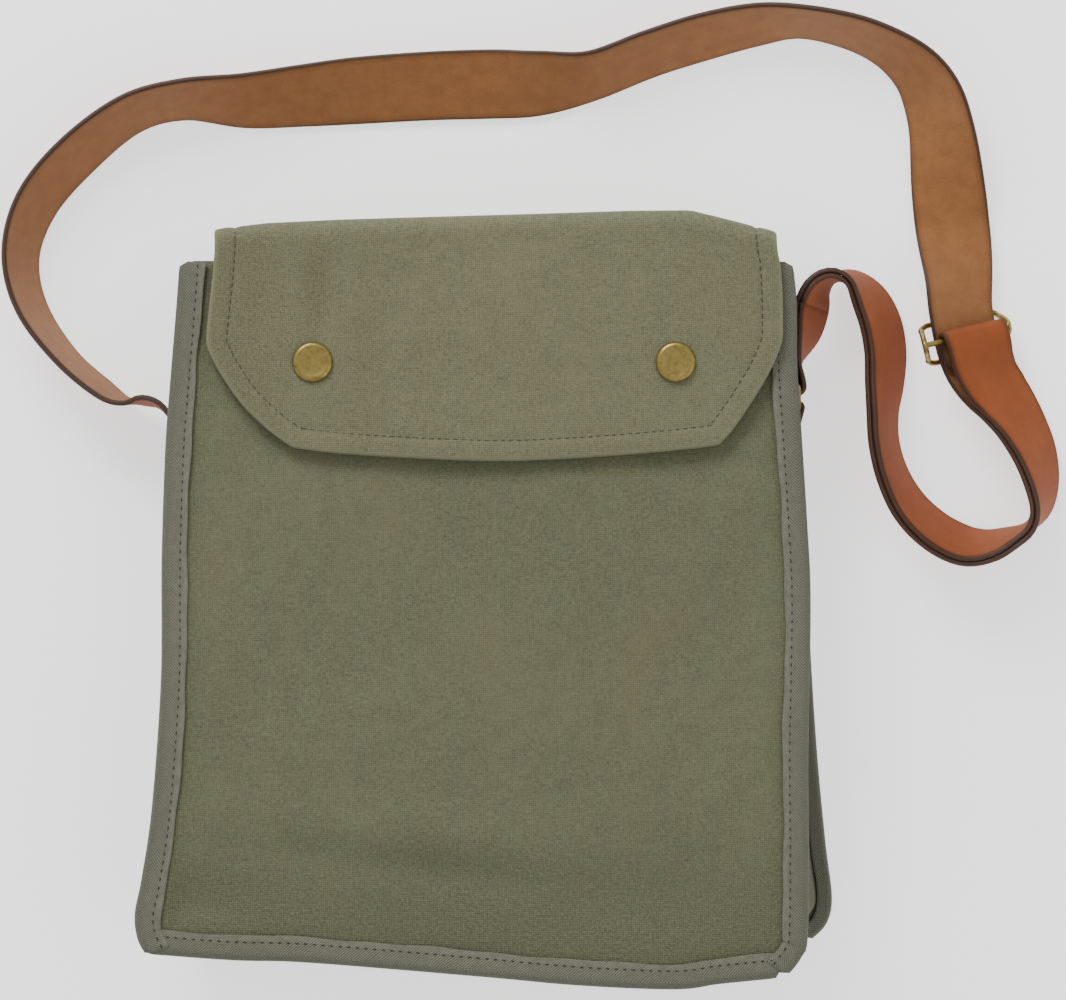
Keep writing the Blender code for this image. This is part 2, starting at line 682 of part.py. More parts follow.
def side_ring(leather, brass, home, cutters):
    """The ring on the right gusset, its leather tab and the tab's rivets."""
    tube("strap_ring", ring_points(), RING_WIRE, brass, home, closed=True,
         origin=(RING_X, RING_Y, (RING_LOW_Z + RING_HIGH_Z) / 2))
    middle = (RING_LOW_Z + RING_HIGH_Z) / 2
    path = tab_path()
    rows = [[(x, y, middle - TAB_W / 2), (x, y, middle + TAB_W / 2)] for x, y in path]
    tab = sheet("ring_tab", rows, TAB_T, leather, home)
    gusset = bpy.data.objects["right_gusset"]
    for number, y in enumerate(RIVET_Y, 1):
        place = (wall_face(y), y, middle)
        drill(tab, place, STEM_R + RIVET_CLEAR, "X", cutters)
        drill(gusset, place, STEM_R + RIVET_CLEAR, "X", cutters)
        outside = path[-1][0] + TAB_T / 2 + GAP - wall_face(y)
        rivet(f"tab_rivet_{number}", place, 1, outside, brass, home)


def rivet(name, place, side, outside, brass, home):
    """A through rivet: dome outside, flat head inside the gusset."""
    inside = -GUSSET_T - 2 * GAP
    profile = [(0.0, outside + RIVET_HEAD), (RIVET_R * 0.7, outside + RIVET_HEAD * 0.8),
               (RIVET_R, outside), (STEM_R, outside), (STEM_R, inside),
               (RIVET_R, inside), (RIVET_R, inside - RIVET_TAIL), (0.0, inside - RIVET_TAIL)]
    turned(name, profile, place, brass, home, axis="X" if side > 0 else "-X")


def strap_rivets(route, brass, home, cutters):
    """Two rivets through the strap's sewn end and the left gusset."""
    gusset = bpy.data.objects["left_gusset"]
    for number, y in enumerate(RIVET_Y, 1):
        middle = route.frame(route.nearest(LONG_ROUTE[0][0] * MM, y), STRAP_W)[0]
        place = (-wall_face(middle.y), middle.y, middle.z)
        drill(gusset, place, STEM_R + RIVET_CLEAR, "X", cutters)
        outside = -middle.x + STRAP_T / 2 + GAP - wall_face(middle.y)
        rivet(f"strap_rivet_{number}", place, -1, outside, brass, home)


def build():
    """Make every piece of the bag."""
    clear_scene()
    home = collection("messenger_bag")
    cutters = collection("cutters")
    canvas = finish("canvas", (0.16, 0.155, 0.09), 0.9)
    lining = finish("lining", (0.13, 0.125, 0.075), 0.9)
    tape = finish("binding_tape", (0.21, 0.22, 0.17), 0.85)
    leather = finish("strap_leather", (0.33, 0.12, 0.04), 0.55)
    brass = finish("brass", (0.55, 0.42, 0.2), 0.35, 1.0)

    front_panel(canvas, home, cutters)
    back_panel(canvas, home)
    side_gusset("left_gusset", -1, canvas, home)
    side_gusset("right_gusset", 1, canvas, home)
    bottom_gusset(canvas, home)
    bindings(tape, home)
    mouth_hem(canvas, home)
    flap(canvas, lining, home, cutters)
    snaps(brass, home)

    route = strap_route()
    slide_at = long_strap(route, leather, home, cutters)
    return_strap(route, slide_at, leather, home)
    strap_rivets(route, brass, home, cutters)
    side_ring(leather, brass, home, cutters)
    slide(route, slide_at, brass, home)


build()
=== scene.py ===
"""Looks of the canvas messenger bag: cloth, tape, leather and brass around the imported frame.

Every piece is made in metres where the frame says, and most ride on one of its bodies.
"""
from __future__ import annotations

import logging
import math
from dataclasses import dataclass, field
from enum import Enum
from typing import Callable, Sequence

import bpy
import numpy as np
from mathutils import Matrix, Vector


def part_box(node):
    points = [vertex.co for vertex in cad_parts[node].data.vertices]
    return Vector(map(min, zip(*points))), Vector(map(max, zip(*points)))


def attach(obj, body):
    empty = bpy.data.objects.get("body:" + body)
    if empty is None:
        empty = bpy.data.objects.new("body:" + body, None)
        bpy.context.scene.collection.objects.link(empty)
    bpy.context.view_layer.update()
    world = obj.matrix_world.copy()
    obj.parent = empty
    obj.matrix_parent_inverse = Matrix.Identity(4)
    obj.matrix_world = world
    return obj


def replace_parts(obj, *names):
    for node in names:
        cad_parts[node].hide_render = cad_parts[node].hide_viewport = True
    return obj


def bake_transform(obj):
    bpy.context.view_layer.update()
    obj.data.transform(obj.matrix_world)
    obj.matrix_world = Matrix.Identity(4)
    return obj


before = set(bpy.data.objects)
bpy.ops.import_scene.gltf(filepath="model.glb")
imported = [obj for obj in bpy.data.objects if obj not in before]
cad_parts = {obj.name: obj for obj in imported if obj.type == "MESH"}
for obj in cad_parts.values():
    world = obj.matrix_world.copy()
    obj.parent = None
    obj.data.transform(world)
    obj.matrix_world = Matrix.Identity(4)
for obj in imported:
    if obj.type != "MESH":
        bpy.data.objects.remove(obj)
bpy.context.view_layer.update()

MM = 0.001
LOG = logging.getLogger("messenger_bag")
Point = tuple[float, float]
Array = np.ndarray


class Body(str, Enum):
    """The frame's moving bodies."""

    BAG = "bag"
    SPINE = "spine"
    FLAP = "flap"
    SLIDE = "slide"
    RING = "ring"


class Slot(str, Enum):
    """The record's material slots."""

    CANVAS = "canvas"
    GUSSET = "gusset_canvas"
    TAPE = "binding_tape"
    LEATHER = "leather"
    BRASS = "brass"


# ---- curves and outlines ---------------------------------------------------------------------
def smooth_path(knots: Sequence[Sequence[float]], per_span: int = 12) -> Array:
    """A smooth curve through knots.

    Args:
        knots: points of any one dimension, in order.
        per_span: samples between two knots.

    Returns:
        The sampled points, ends included.
    """
    points = np.array(knots, float)
    padded = np.vstack([2 * points[0] - points[1], points, 2 * points[-1] - points[-2]])
    share = np.linspace(0, 1, per_span, endpoint=False)[:, None]
    rows = []
    for a, b, c, d in zip(padded, padded[1:], padded[2:], padded[3:]):
        rows.append(0.5 * (2 * b + (c - a) * share + (2 * a - 5 * b + 4 * c - d) * share ** 2
                           + (3 * b - a - 3 * c + d) * share ** 3))
    return np.vstack(rows + [points[-1:]])


def distances(points: Array) -> Array:
    """The distance along a path to each of its points."""
    steps = np.linalg.norm(np.diff(points, axis=0), axis=1)
    return np.concatenate([[0.0], np.cumsum(steps)])


def read_path(points: Array, wanted: Array) -> Array:
    """The places at some distances along a path."""
    at = distances(points)
    return np.column_stack([np.interp(wanted, at, points[:, i]) for i in range(points.shape[1])])


def even_path(points: Array, count: int) -> Array:
    """The same path as a number of evenly spaced points."""
    return read_path(points, np.linspace(0, distances(points)[-1], count))


def path_length(points: Array) -> float:
    """Length along a path."""
    return float(np.linalg.norm(np.diff(points, axis=0), axis=1).sum())


def inward(points: Array) -> Array:
    """Unit vectors to the left of a flat path's direction: into a seam run counter-clockwise."""
    ahead = np.gradient(points[:, :2], axis=0)
    ahead /= np.linalg.norm(ahead, axis=1)[:, None]
    return np.column_stack([-ahead[:, 1], ahead[:, 0]])


def ease(value: Array | float) -> Array | float:
    """Smooth step from 0 to 1."""
    value = np.clip(value, 0.0, 1.0)
    return value * value * (3 - 2 * value)


def coons(left: Array, right: Array, low: Array, high: Array, up: Array | None = None,
          wide: Array | None = None) -> Array:
    """A flat patch between four edges.

    Args:
        left: edge from the low corner to the high corner, n points.
        right: the facing edge, n points.
        low: edge from left to right, m points.
        high: the facing edge, m points.
        up: each row's share of the way up, evenly spaced if not given.
        wide: each column's share of the way across, evenly spaced if not given.

    Returns:
        An n by m grid of points.
    """
    down = (np.linspace(0, 1, len(left)) if up is None else up)[:, None, None]
    across = (np.linspace(0, 1, len(low)) if wide is None else wide)[None, :, None]
    ruled = (1 - across) * left[:, None] + across * right[:, None]
    lofted = (1 - down) * low[None] + down * high[None]
    corners = (1 - down) * ((1 - across) * low[0] + across * low[-1])
    corners = corners + down * ((1 - across) * high[0] + across * high[-1])
    return ruled + lofted - corners


# ---- meshes ----------------------------------------------------------------------------------
def grid_faces(rows: int, columns: int, around: bool = False) -> list[tuple[int, ...]]:
    """Quads of a grid of vertices, its last column joined to its first when around."""
    faces = []
    wide = columns if around else columns - 1
    for i in range(rows - 1):
        for j in range(wide):
            k = (j + 1) % columns
            faces.append((i * columns + j, i * columns + k,
                          (i + 1) * columns + k, (i + 1) * columns + j))
    return faces


def belt_faces(rows: int, columns: int) -> list[tuple[int, ...]]:
    """Faces of a closed belt: its sides, then its first and its last end."""
    last = (rows - 1) * columns
    return grid_faces(rows, columns, around=True) + [
        tuple(range(columns)), tuple(range(last + columns - 1, last - 1, -1))]


def make_mesh(name: str, points: Array, faces: list[tuple[int, ...]],
              uv: Array | None = None) -> bpy.types.Object:
    """A smooth-shaded mesh object at the origin.

    Args:
        name: the piece's name.
        points: its vertices in metres.
        faces: vertex numbers of each face.
        uv: a place on the cloth, in metres, for each vertex.

    Returns:
        The new object.
    """
    mesh = bpy.data.meshes.new(name)
    mesh.from_pydata([tuple(p) for p in np.asarray(points).reshape(-1, 3)], [], faces)
    mesh.update()
    if uv is not None:
        layer = mesh.uv_layers.new(name="cloth")
        corners = np.empty(len(mesh.loops), np.int32)
        mesh.loops.foreach_get("vertex_index", corners)
        layer.data.foreach_set("uv", np.asarray(uv, np.float32).reshape(-1, 2)[corners].ravel())
    obj = bpy.data.objects.new(name, mesh)
    bpy.context.scene.collection.objects.link(obj)
    mesh.shade_smooth()
    return obj


def face_out(obj: bpy.types.Object) -> None:
    """Turn a closed mesh's faces outwards."""
    select_only(obj)
    bpy.ops.object.mode_set(mode="EDIT")
    bpy.ops.mesh.select_all(action="SELECT")
    bpy.ops.mesh.normals_make_consistent(inside=False)
    bpy.ops.object.mode_set(mode="OBJECT")


def select_only(obj: bpy.types.Object) -> None:
    """Make one object the only selected and active one."""
    bpy.ops.object.select_all(action="DESELECT")
    obj.select_set(True)
    bpy.context.view_layer.objects.active = obj


def apply_all(obj: bpy.types.Object) -> None:
    """Apply every modifier and the object's own place."""
    select_only(obj)
    for modifier in list(obj.modifiers):
        bpy.ops.object.modifier_apply(modifier=modifier.name)
    bpy.ops.object.transform_apply(location=True, rotation=True, scale=True)


def vertex_mask(obj: bpy.types.Object, name: str, values: Array) -> None:
    """Store one number a vertex for the materials to read."""
    layer = obj.data.attributes.new(name, "FLOAT", "POINT")
    layer.data.foreach_set("value", np.asarray(values, np.float32).ravel())


def sheet_mask(obj: bpy.types.Object, name: str, grid: Array) -> None:
    """Store a grid of numbers on both sides of a soft sheet."""
    vertex_mask(obj, name, np.concatenate([grid.ravel(), grid[1:-1, 1:-1].ravel()]))


def soft_sheet(name: str, middle: Array, normals: Array, half: Array,
               uv: Array) -> bpy.types.Object:
    """A closed sheet of cloth: a face and a back that meet in its four edges.

    Args:
        name: the piece's name.
        middle: grid of points halfway through the cloth.
        normals: grid of unit normals, towards the face.
        half: grid of half thicknesses; the edges are brought to 0.
        uv: grid of places on the cloth.

    Returns:
        The new object.
    """
    rows, columns = half.shape
    edge = np.ones((rows, columns), bool)
    edge[1:-1, 1:-1] = False
    half = np.where(edge, 0.0, half)
    face = middle + normals * half[..., None]
    back = middle - normals * half[..., None]
    number = np.arange(rows * columns).reshape(rows, columns)
    behind = number.copy()
    behind[~edge] = rows * columns + np.arange((~edge).sum())
    points = np.vstack([face.reshape(-1, 3), back[~edge]])
    places = np.vstack([uv.reshape(-1, 2), uv[~edge]])
    faces = []
    for i in range(rows - 1):
        for j in range(columns - 1):
            ring = ((i, j), (i, j + 1), (i + 1, j + 1), (i + 1, j))
            faces.append(tuple(int(number[k]) for k in ring))
            faces.append(tuple(int(behind[k]) for k in ring[::-1]))
    return make_mesh(name, points, faces, places)


def grid_normals(grid: Array) -> Array:
    """Unit normals of a grid of points."""
    along = np.gradient(grid, axis=0)
    across = np.gradient(grid, axis=1)
    normal = np.cross(across, along)
    return normal / np.linalg.norm(normal, axis=2)[..., None]


def stitches(name: str, path: Array, normals: Array, pitch: float,
             size: Sequence[float]) -> tuple[Array, list[tuple[int, ...]]]:
    """Short thread stitches along a path.

    Args:
        name: what they sew, for the log.
        path: points on the cloth.
        normals: the cloth's normals there.
        pitch: distance between stitches.
        size: length, width and height of one.

    Returns:
        Vertices and faces of all the stitches.
    """
    at = distances(path)
    centres = np.arange(pitch / 2, at[-1], pitch)
    sides, rings = 6, 5
    turn = np.linspace(0, 2 * math.pi, sides, endpoint=False)
    body = np.linspace(-1, 1, rings)
    swell = np.sqrt(np.clip(1 - 0.94 * body ** 2, 0.06, 1))
    shape = grid_faces(rings, sides, around=True)
    shape += [tuple(reversed(range(sides))), tuple(range((rings - 1) * sides, rings * sides))]
    points, faces = [], []

    def sample(values: Array, where: float) -> Array:
        """A value of the path at a distance along it."""
        return np.array([np.interp(where, at, values[:, i]) for i in range(3)])

    for where in centres:
        centre = sample(path, where)
        ahead = sample(path, where + pitch * 0.2) - sample(path, where - pitch * 0.2)
        ahead /= np.linalg.norm(ahead)
        up = sample(normals, where)
        side = np.cross(up, ahead)
        side /= np.linalg.norm(side)
        first = len(points)
        for share, fat in zip(body, swell):
            for angle in turn:
                points.append(centre + ahead * share * size[0] / 2
                              + side * math.cos(angle) * fat * size[1] / 2
                              + up * (math.sin(angle) * fat * size[2] / 2))
        faces += [tuple(first + k for k in face) for face in shape]
    LOG.info("%s: %d stitches", name, len(centres))
    return np.array(points), faces


# ---- node groups -----------------------------------------------------------------------------
Socket = bpy.types.NodeSocket


@dataclass
class Graph:
    """A node tree that is written from left to right."""

    tree: bpy.types.NodeTree

    def node(self, kind: str, inputs: dict | None = None, **settings: object) -> bpy.types.Node:
        """Add a node.

        Args:
            kind: its Blender type.
            inputs: values or sockets for its inputs, by name or number.
            settings: its own properties.

        Returns:
            The new node.
        """
        made = self.tree.nodes.new(kind)
        for key, value in settings.items():
            setattr(made, key, value)
        for key, value in (inputs or {}).items():
            if isinstance(value, Socket):
                self.tree.links.new(value, made.inputs[key])
            else:
                made.inputs[key].default_value = value
        return made

    def math(self, operation: str, *values: object) -> Socket:
        """A Math node's result."""
        inputs = dict(enumerate(values))
        return self.node("ShaderNodeMath", inputs, operation=operation).outputs[0]

    def times(self, value: Socket, factor: object) -> Socket:
        """A value made larger or smaller."""
        return self.math("MULTIPLY", value, factor)

    def mask(self, name: str) -> Socket:
        """A number that the mesh stores at its vertices."""
        return self.node("ShaderNodeAttribute", attribute_name=name).outputs[2]

    def blend(self, share: object, low: object, high: object) -> Socket:
        """A colour between two colours."""
        return self.node("ShaderNodeMix", {0: share, 6: low, 7: high},
                         data_type="RGBA").outputs[2]

    def noise(self, vector: Socket, scale: float, detail: float = 2.0,
              stretch: Sequence[float] = (1, 1, 1)) -> Socket:
        """Noise over a stretched place."""
        placed = self.node("ShaderNodeVectorMath", {0: vector, 1: tuple(stretch)},
                           operation="MULTIPLY").outputs[0]
        made = self.node("ShaderNodeTexNoise", {"Vector": placed, "Scale": scale,
                                                "Detail": detail, "Roughness": 0.6})
        return made.outputs[0]

    def wobble(self, place: Socket, scale: float, reach: float, centre: float) -> Socket:
        """A place moved about by noise.

        Args:
            place: the place.
            scale: how fine the noise is.
            reach: how far it moves.
            centre: the noise value that moves it nowhere.
        """
        noise = self.node("ShaderNodeTexNoise", {"Vector": place, "Scale": scale}).outputs[1]
        shift = self.node("ShaderNodeVectorMath", {0: noise, 1: (centre,) * 3},
                          operation="SUBTRACT").outputs[0]
        moved = self.node("ShaderNodeVectorMath", {0: shift, "Scale": reach},
                          operation="SCALE").outputs[0]
        return self.node("ShaderNodeVectorMath", {0: place, 1: moved},
                         operation="ADD").outputs[0]

    def remap(self, value: Socket, low: float, high: float, to_low: float = 0.0,
              to_high: float = 1.0) -> Socket:
        """A value taken from one range to another, and held there."""
        made = self.node("ShaderNodeMapRange", {0: value, 1: low, 2: high, 3: to_low, 4: to_high})
        return made.outputs[0]

    def group(self, tree: bpy.types.NodeTree, **inputs: object) -> Socket:
        """A node group's first output."""
        return self.node("ShaderNodeGroup", inputs, node_tree=tree).outputs[0]


def new_group(name: str, sizes: dict[str, float], outputs: Sequence[str],
              fill: Callable[[Graph, bpy.types.Node], dict[str, Socket]]) -> bpy.types.NodeTree:
    """A shader node group.

    Args:
        name: the effect.
        sizes: its number inputs and their defaults.
        outputs: its value outputs.
        fill: adds the nodes and returns a socket for each output.

    Returns:
        The group.
    """
    tree = bpy.data.node_groups.new(name, "ShaderNodeTree")
    tree.interface.new_socket("Place", in_out="INPUT", socket_type="NodeSocketVector")
    for key, value in sizes.items():
        made = tree.interface.new_socket(key, in_out="INPUT", socket_type="NodeSocketFloat")
        made.default_value = value
    for key in outputs:
        tree.interface.new_socket(key, in_out="OUTPUT", socket_type="NodeSocketFloat")
    graph = Graph(tree)
    entry = graph.node("NodeGroupInput")
    leave = graph.node("NodeGroupOutput")
    for key, value in fill(graph, entry).items():
        tree.links.new(value, leave.inputs[key])
    return tree


def fill_weave(g: Graph, entry: bpy.types.Node) -> dict[str, Socket]:
    """Plain weave: warp and weft threads that pass over each other in turn."""
    place = g.wobble(entry.outputs["Place"], 420.0, 0.0012, 0.5)
    parts = g.node("ShaderNodeSeparateXYZ", {0: place})
    u = g.math("DIVIDE", parts.outputs[0], entry.outputs["Pitch"])
    v = g.math("DIVIDE", parts.outputs[1], entry.outputs["Pitch"])
    warp = g.math("ABSOLUTE", g.math("SINE", g.times(u, math.pi)))
    weft = g.math("ABSOLUTE", g.math("SINE", g.times(v, math.pi)))
    cells = g.math("ADD", g.math("FLOOR", u), g.math("FLOOR", v))
    turn = g.math("PINGPONG", cells, 1.0)
    over = g.times(warp, g.math("ADD", 0.45, g.times(weft, 0.55)))
    under = g.times(weft, g.math("ADD", 0.45, g.times(warp, 0.55)))
    keep = g.times(over, g.math("SUBTRACT", 1.0, turn))
    height = g.math("ADD", keep, g.times(under, turn))
    return {"Height": height}


def fill_slubs(g: Graph, entry: bpy.types.Node) -> dict[str, Socket]:
    """Uneven threads: short light and dark runs along the warp and along the weft."""
    along = g.noise(entry.outputs["Place"], 1.0, 3.0, (260, 2100, 260))
    across = g.noise(entry.outputs["Place"], 1.0, 3.0, (2100, 260, 260))
    both = g.math("ADD", along, across)
    return {"Value": g.remap(both, 0.7, 1.3)}


def fill_twill(g: Graph, entry: bpy.types.Node) -> dict[str, Socket]:
    """Chevron twill: diagonal ribs that turn back in the middle of the tape."""
    place = g.wobble(entry.outputs["Place"], 300.0, 0.0004, 0.0)
    parts = g.node("ShaderNodeSeparateXYZ", {0: place})
    fold = g.math("PINGPONG", parts.outputs[1], entry.outputs["Repeat"])
    run = g.math("ADD", parts.outputs[0], g.times(fold, 1.1))
    rib = g.math("SINE", g.times(g.math("DIVIDE", run, entry.outputs["Pitch"]),
                                2 * math.pi))
    thread = g.math("SINE", g.times(g.math("DIVIDE", parts.outputs[1],
                                                      entry.outputs["Pitch"]), 4 * math.pi))
    height = g.math("ADD", g.remap(rib, -1.0, 1.0), g.times(thread, 0.12))
    return {"Height": height}


def fill_blotches(g: Graph, entry: bpy.types.Node) -> dict[str, Socket]:
    """Soft uneven dye: wide patches with smaller ones inside."""
    wide = g.noise(entry.outputs["Place"], 11.0, 2.0)
    small = g.noise(entry.outputs["Place"], 60.0, 4.0)
    both = g.math("ADD", g.times(wide, 0.65), g.times(small, 0.35))
    return {"Value": g.remap(both, 0.33, 0.67)}


def fill_fibres(g: Graph, entry: bpy.types.Node) -> dict[str, Socket]:
    """Raised fibres: fine noise in two sizes."""
    coarse = g.noise(entry.outputs["Place"], 1.0, 4.0, (900, 1500, 900))
    fine = g.noise(entry.outputs["Place"], 4200.0, 2.0)
    both = g.math("ADD", g.times(coarse, 0.6), g.times(fine, 0.4))
    return {"Value": g.remap(both, 0.3, 0.7)}


def fill_grain(g: Graph, entry: bpy.types.Node) -> dict[str, Socket]:
    """Leather grain: small rounded cells with fine creases between them."""
    cells = g.node("ShaderNodeTexVoronoi", {"Vector": entry.outputs["Place"], "Scale": 1150.0},
                   feature="SMOOTH_F1").outputs[0]
    pores = g.noise(entry.outputs["Place"], 2600.0, 2.0)
    height = g.math("SUBTRACT", g.times(pores, 0.35), g.times(cells, 0.8))
    return {"Height": height}


@dataclass
class Effects:
    """The shared node groups."""

    weave: bpy.types.NodeTree = field(init=False)
    slubs: bpy.types.NodeTree = field(init=False)
    twill: bpy.types.NodeTree = field(init=False)
    blotches: bpy.types.NodeTree = field(init=False)
    fibres: bpy.types.NodeTree = field(init=False)
    grain: bpy.types.NodeTree = field(init=False)

    def __post_init__(self) -> None:
        """Build each group once."""
        self.weave = new_group("plain_weave", {"Pitch": 0.0008}, ["Height"], fill_weave)
        self.slubs = new_group("slubs", {}, ["Value"], fill_slubs)
        self.twill = new_group("chevron_twill", {"Pitch": 0.0013, "Repeat": 0.0080}, ["Height"],
                               fill_twill)
        self.blotches = new_group("uneven_dye", {}, ["Value"], fill_blotches)
        self.fibres = new_group("raised_fibres", {}, ["Value"], fill_fibres)
        self.grain = new_group("leather_grain", {}, ["Height"], fill_grain)


Colour = tuple[float, float, float]


def rgba(colour: Colour, gain: float = 1.0) -> tuple[float, float, float, float]:
    """A colour with its alpha, made lighter or darker."""
    return (*(min(c * gain, 1.0) for c in colour), 1.0)


def new_material(name: str) -> tuple[bpy.types.Material, Graph, bpy.types.Node]:
    """An empty material, its graph and its Principled shader."""
    made = bpy.data.materials.new(name)
    made.use_nodes = True
    return made, Graph(made.node_tree), made.node_tree.nodes["Principled BSDF"]


@dataclass(frozen=True)
class Finish:
    """A finish: its name, its main colour, and how its nodes are put together."""

    name: str
    colour: Colour

    def make(self, effects: Effects) -> bpy.types.Material:
        """Build the material.

        Args:
            effects: the shared groups.

        Returns:
            The material.
        """
        material, g, shader = new_material(self.name)
        self.paint(g, shader, effects)
        return material

    def paint(self, g: Graph, shader: bpy.types.Node, effects: Effects) -> None:
        """Add the finish's own nodes."""
        raise NotImplementedError

    def surface(self, g: Graph, shader: bpy.types.Node, colour: Socket, rough: Socket,
                bump: tuple[float, float, Socket], **constants: float) -> None:
        """Join the last nodes to the shader.

        Args:
            g: the material's graph.
            shader: its shader.
            colour: the base colour.
            rough: the roughness.
            bump: the relief's strength, depth and height.
            constants: values for other sockets of the shader, with _ for spaces.
        """
        strength, depth, height = bump
        relief = g.node("ShaderNodeBump", {"Strength": strength, "Distance": depth,
                                           "Height": height})
        for key, value in (("Base Color", colour), ("Roughness", rough),
                           ("Normal", relief.outputs[0])):
            g.tree.links.new(value, shader.inputs[key])
        for key, value in constants.items():
            shader.inputs[key.replace("_", " ")].default_value = value


@dataclass(frozen=True)
class ClothFinish(Finish):
    """Woven cotton canvas."""

    warm: Colour
    # Colour of real stains on the flap and of painted shade on the panels.
    stain_and_shade: Colour
    pitch: float = 0.0008
    bump: float = 0.00018
    rim_gain: float = 1.416

    def paint(self, g: Graph, shader: bpy.types.Node, effects: Effects) -> None:
        """Weave with painted shade in its hollows, uneven dye, grime, warm patches, stains and
        painted shade, pale threads and worn rims.
        """
        place = g.node("ShaderNodeUVMap", uv_map="cloth").outputs[0]
        weave = g.group(effects.weave, Place=place, Pitch=self.pitch)
        slubs, dye, fibres = (g.group(tree, Place=place)
                              for tree in (effects.slubs, effects.blotches, effects.fibres))

        def tint(gain: float) -> tuple[float, float, float, float]:
            """The cloth's own colour, lighter or darker."""
            return rgba(self.colour, gain)

        base = g.blend(dye, tint(0.50), tint(1.0))
        speckle = g.remap(g.noise(place, 520.0, 5.0), 0.38, 0.62)
        base = g.blend(g.times(speckle, 0.7), base, tint(1.38))
        grime = g.remap(g.noise(place, 130.0, 4.0), 0.44, 0.68, 0.0, 0.5)
        base = g.blend(grime, base, tint(0.58))
        patches = g.remap(g.noise(place, 21.0, 2.0, (1, 0.6, 1)), 0.54, 0.75, 0.0, 0.55)
        base = g.blend(patches, base, rgba(self.warm))
        # Real stains on the flap; painted shade on the panels, beside the tape and towards the
        # bottom.
        base = g.blend(g.mask("stain_and_shade_mask"), base, rgba(self.stain_and_shade))
        lint = g.remap(g.noise(place, 900.0, 3.0), 0.42, 0.60)
        base = g.blend(g.times(lint, 0.45), base, tint(1.7))
        threads = g.blend(g.times(slubs, 0.62), base, tint(1.75))
        # Painted shade: the weave's hollows are darkened.
        hollow_shade = g.remap(weave, 0.1, 0.75)
        woven = g.blend(hollow_shade, g.blend(0.5, tint(0.55), base), threads)
        pale = g.blend(g.times(g.mask("rim"), 0.6), woven, tint(self.rim_gain))
        flecks = g.remap(g.noise(place, 900.0, 1.0), 0.73, 0.77, 0.0, 0.35)
        pale = g.blend(flecks, pale, tint(2.2))
        relief = g.math("ADD", weave, g.times(fibres, 0.55))
        relief = g.math("ADD", relief, g.times(slubs, 0.5))
        self.surface(g, shader, pale, g.remap(fibres, 0.0, 1.0, 0.82, 0.97),
                     (0.75, self.bump, relief), Sheen_Weight=0.12, Sheen_Roughness=0.5,
                     Specular_IOR_Level=0.2)


@dataclass(frozen=True)
class TapeFinish(Finish):
    """Chevron twill binding tape with a paler selvedge."""

    selvedge: Colour

    def paint(self, g: Graph, shader: bpy.types.Node, effects: Effects) -> None:
        """Ribs with painted shade in their valleys, a pale selvedge, painted shade round the outer
        fold and fine fibres.
        """
        place = g.node("ShaderNodeUVMap", uv_map="cloth").outputs[0]
        twill, fibres, dye = (g.group(tree, Place=place)
                              for tree in (effects.twill, effects.fibres, effects.blotches))
        base = g.blend(dye, rgba(self.colour, 0.8), rgba(self.colour, 1.15))
        # Painted shade: the valleys between the twill ribs are darkened.
        ribs = g.blend(g.remap(twill, 0.1, 0.85), rgba(self.colour, 0.40), base)
        pale = g.blend(g.times(g.mask("rim"), 0.4), ribs, rgba(self.selvedge))
        # Painted shade: the tape is darkened round its outer fold.
        pale = g.blend(g.times(g.mask("stain_and_shade_mask"), 0.75), pale, rgba(self.colour, 0.26))
        patchy = g.remap(g.noise(place, 1.0, 4.0, (220, 560, 1)), 0.42, 0.66, 0.0, 0.6)
        pale = g.blend(patchy, pale, rgba(self.colour, 0.5))
        pale = g.blend(g.times(fibres, 0.3), pale, rgba(self.selvedge, 1.25))
        relief = g.math("ADD", twill, g.times(fibres, 0.5))
        self.surface(g, shader, pale, g.remap(fibres, 0.0, 1.0, 0.75, 0.95),
                     (0.9, 0.0004, relief), Sheen_Weight=0.1, Specular_IOR_Level=0.2)


@dataclass(frozen=True)
class HideFinish(Finish):
    """Leather: smooth grain, brushed flesh side or burnished edge."""

    deep: Colour
    roughness: tuple[float, float]
    suede: float = 0.0
    bump: float = 0.00012
    specular: float = 0.4

    def paint(self, g: Graph, shader: bpy.types.Node, effects: Effects) -> None:
        """Dye, nap, clouds, creases along the strap and darkened edges."""
        place = g.node("ShaderNodeUVMap", uv_map="cloth").outputs[0]
        grain, fibres, dye = (g.group(tree, Place=place)
                              for tree in (effects.grain, effects.fibres, effects.blotches))
        base = g.blend(dye, rgba(self.deep), rgba(self.colour))
        nap = g.blend(g.times(fibres, 0.15 + 0.45 * self.suede), base, rgba(self.colour, 1.28))
        clouds = g.remap(g.noise(place, 130.0, 5.0), 0.40, 0.62, 0.0, 0.25 + 0.3 * self.suede)
        nap = g.blend(clouds, nap, rgba(self.deep))
        creases = g.remap(g.noise(place, 1.0, 4.0, (300, 26, 26)), 0.58, 0.72, 0.0, 0.3)
        nap = g.blend(creases, nap, rgba(self.deep, 0.8))
        nap = g.blend(g.times(g.mask("rim"), 0.75), nap, rgba(self.deep, 0.32))
        relief = g.math("ADD", g.times(grain, 1.0 - 0.7 * self.suede),
                        g.times(fibres, 0.3 + self.suede))
        self.surface(g, shader, nap, g.remap(fibres, 0.0, 1.0, *self.roughness),
                     (0.6, self.bump, relief), Specular_IOR_Level=self.specular,
                     Sheen_Weight=0.15 * self.suede)


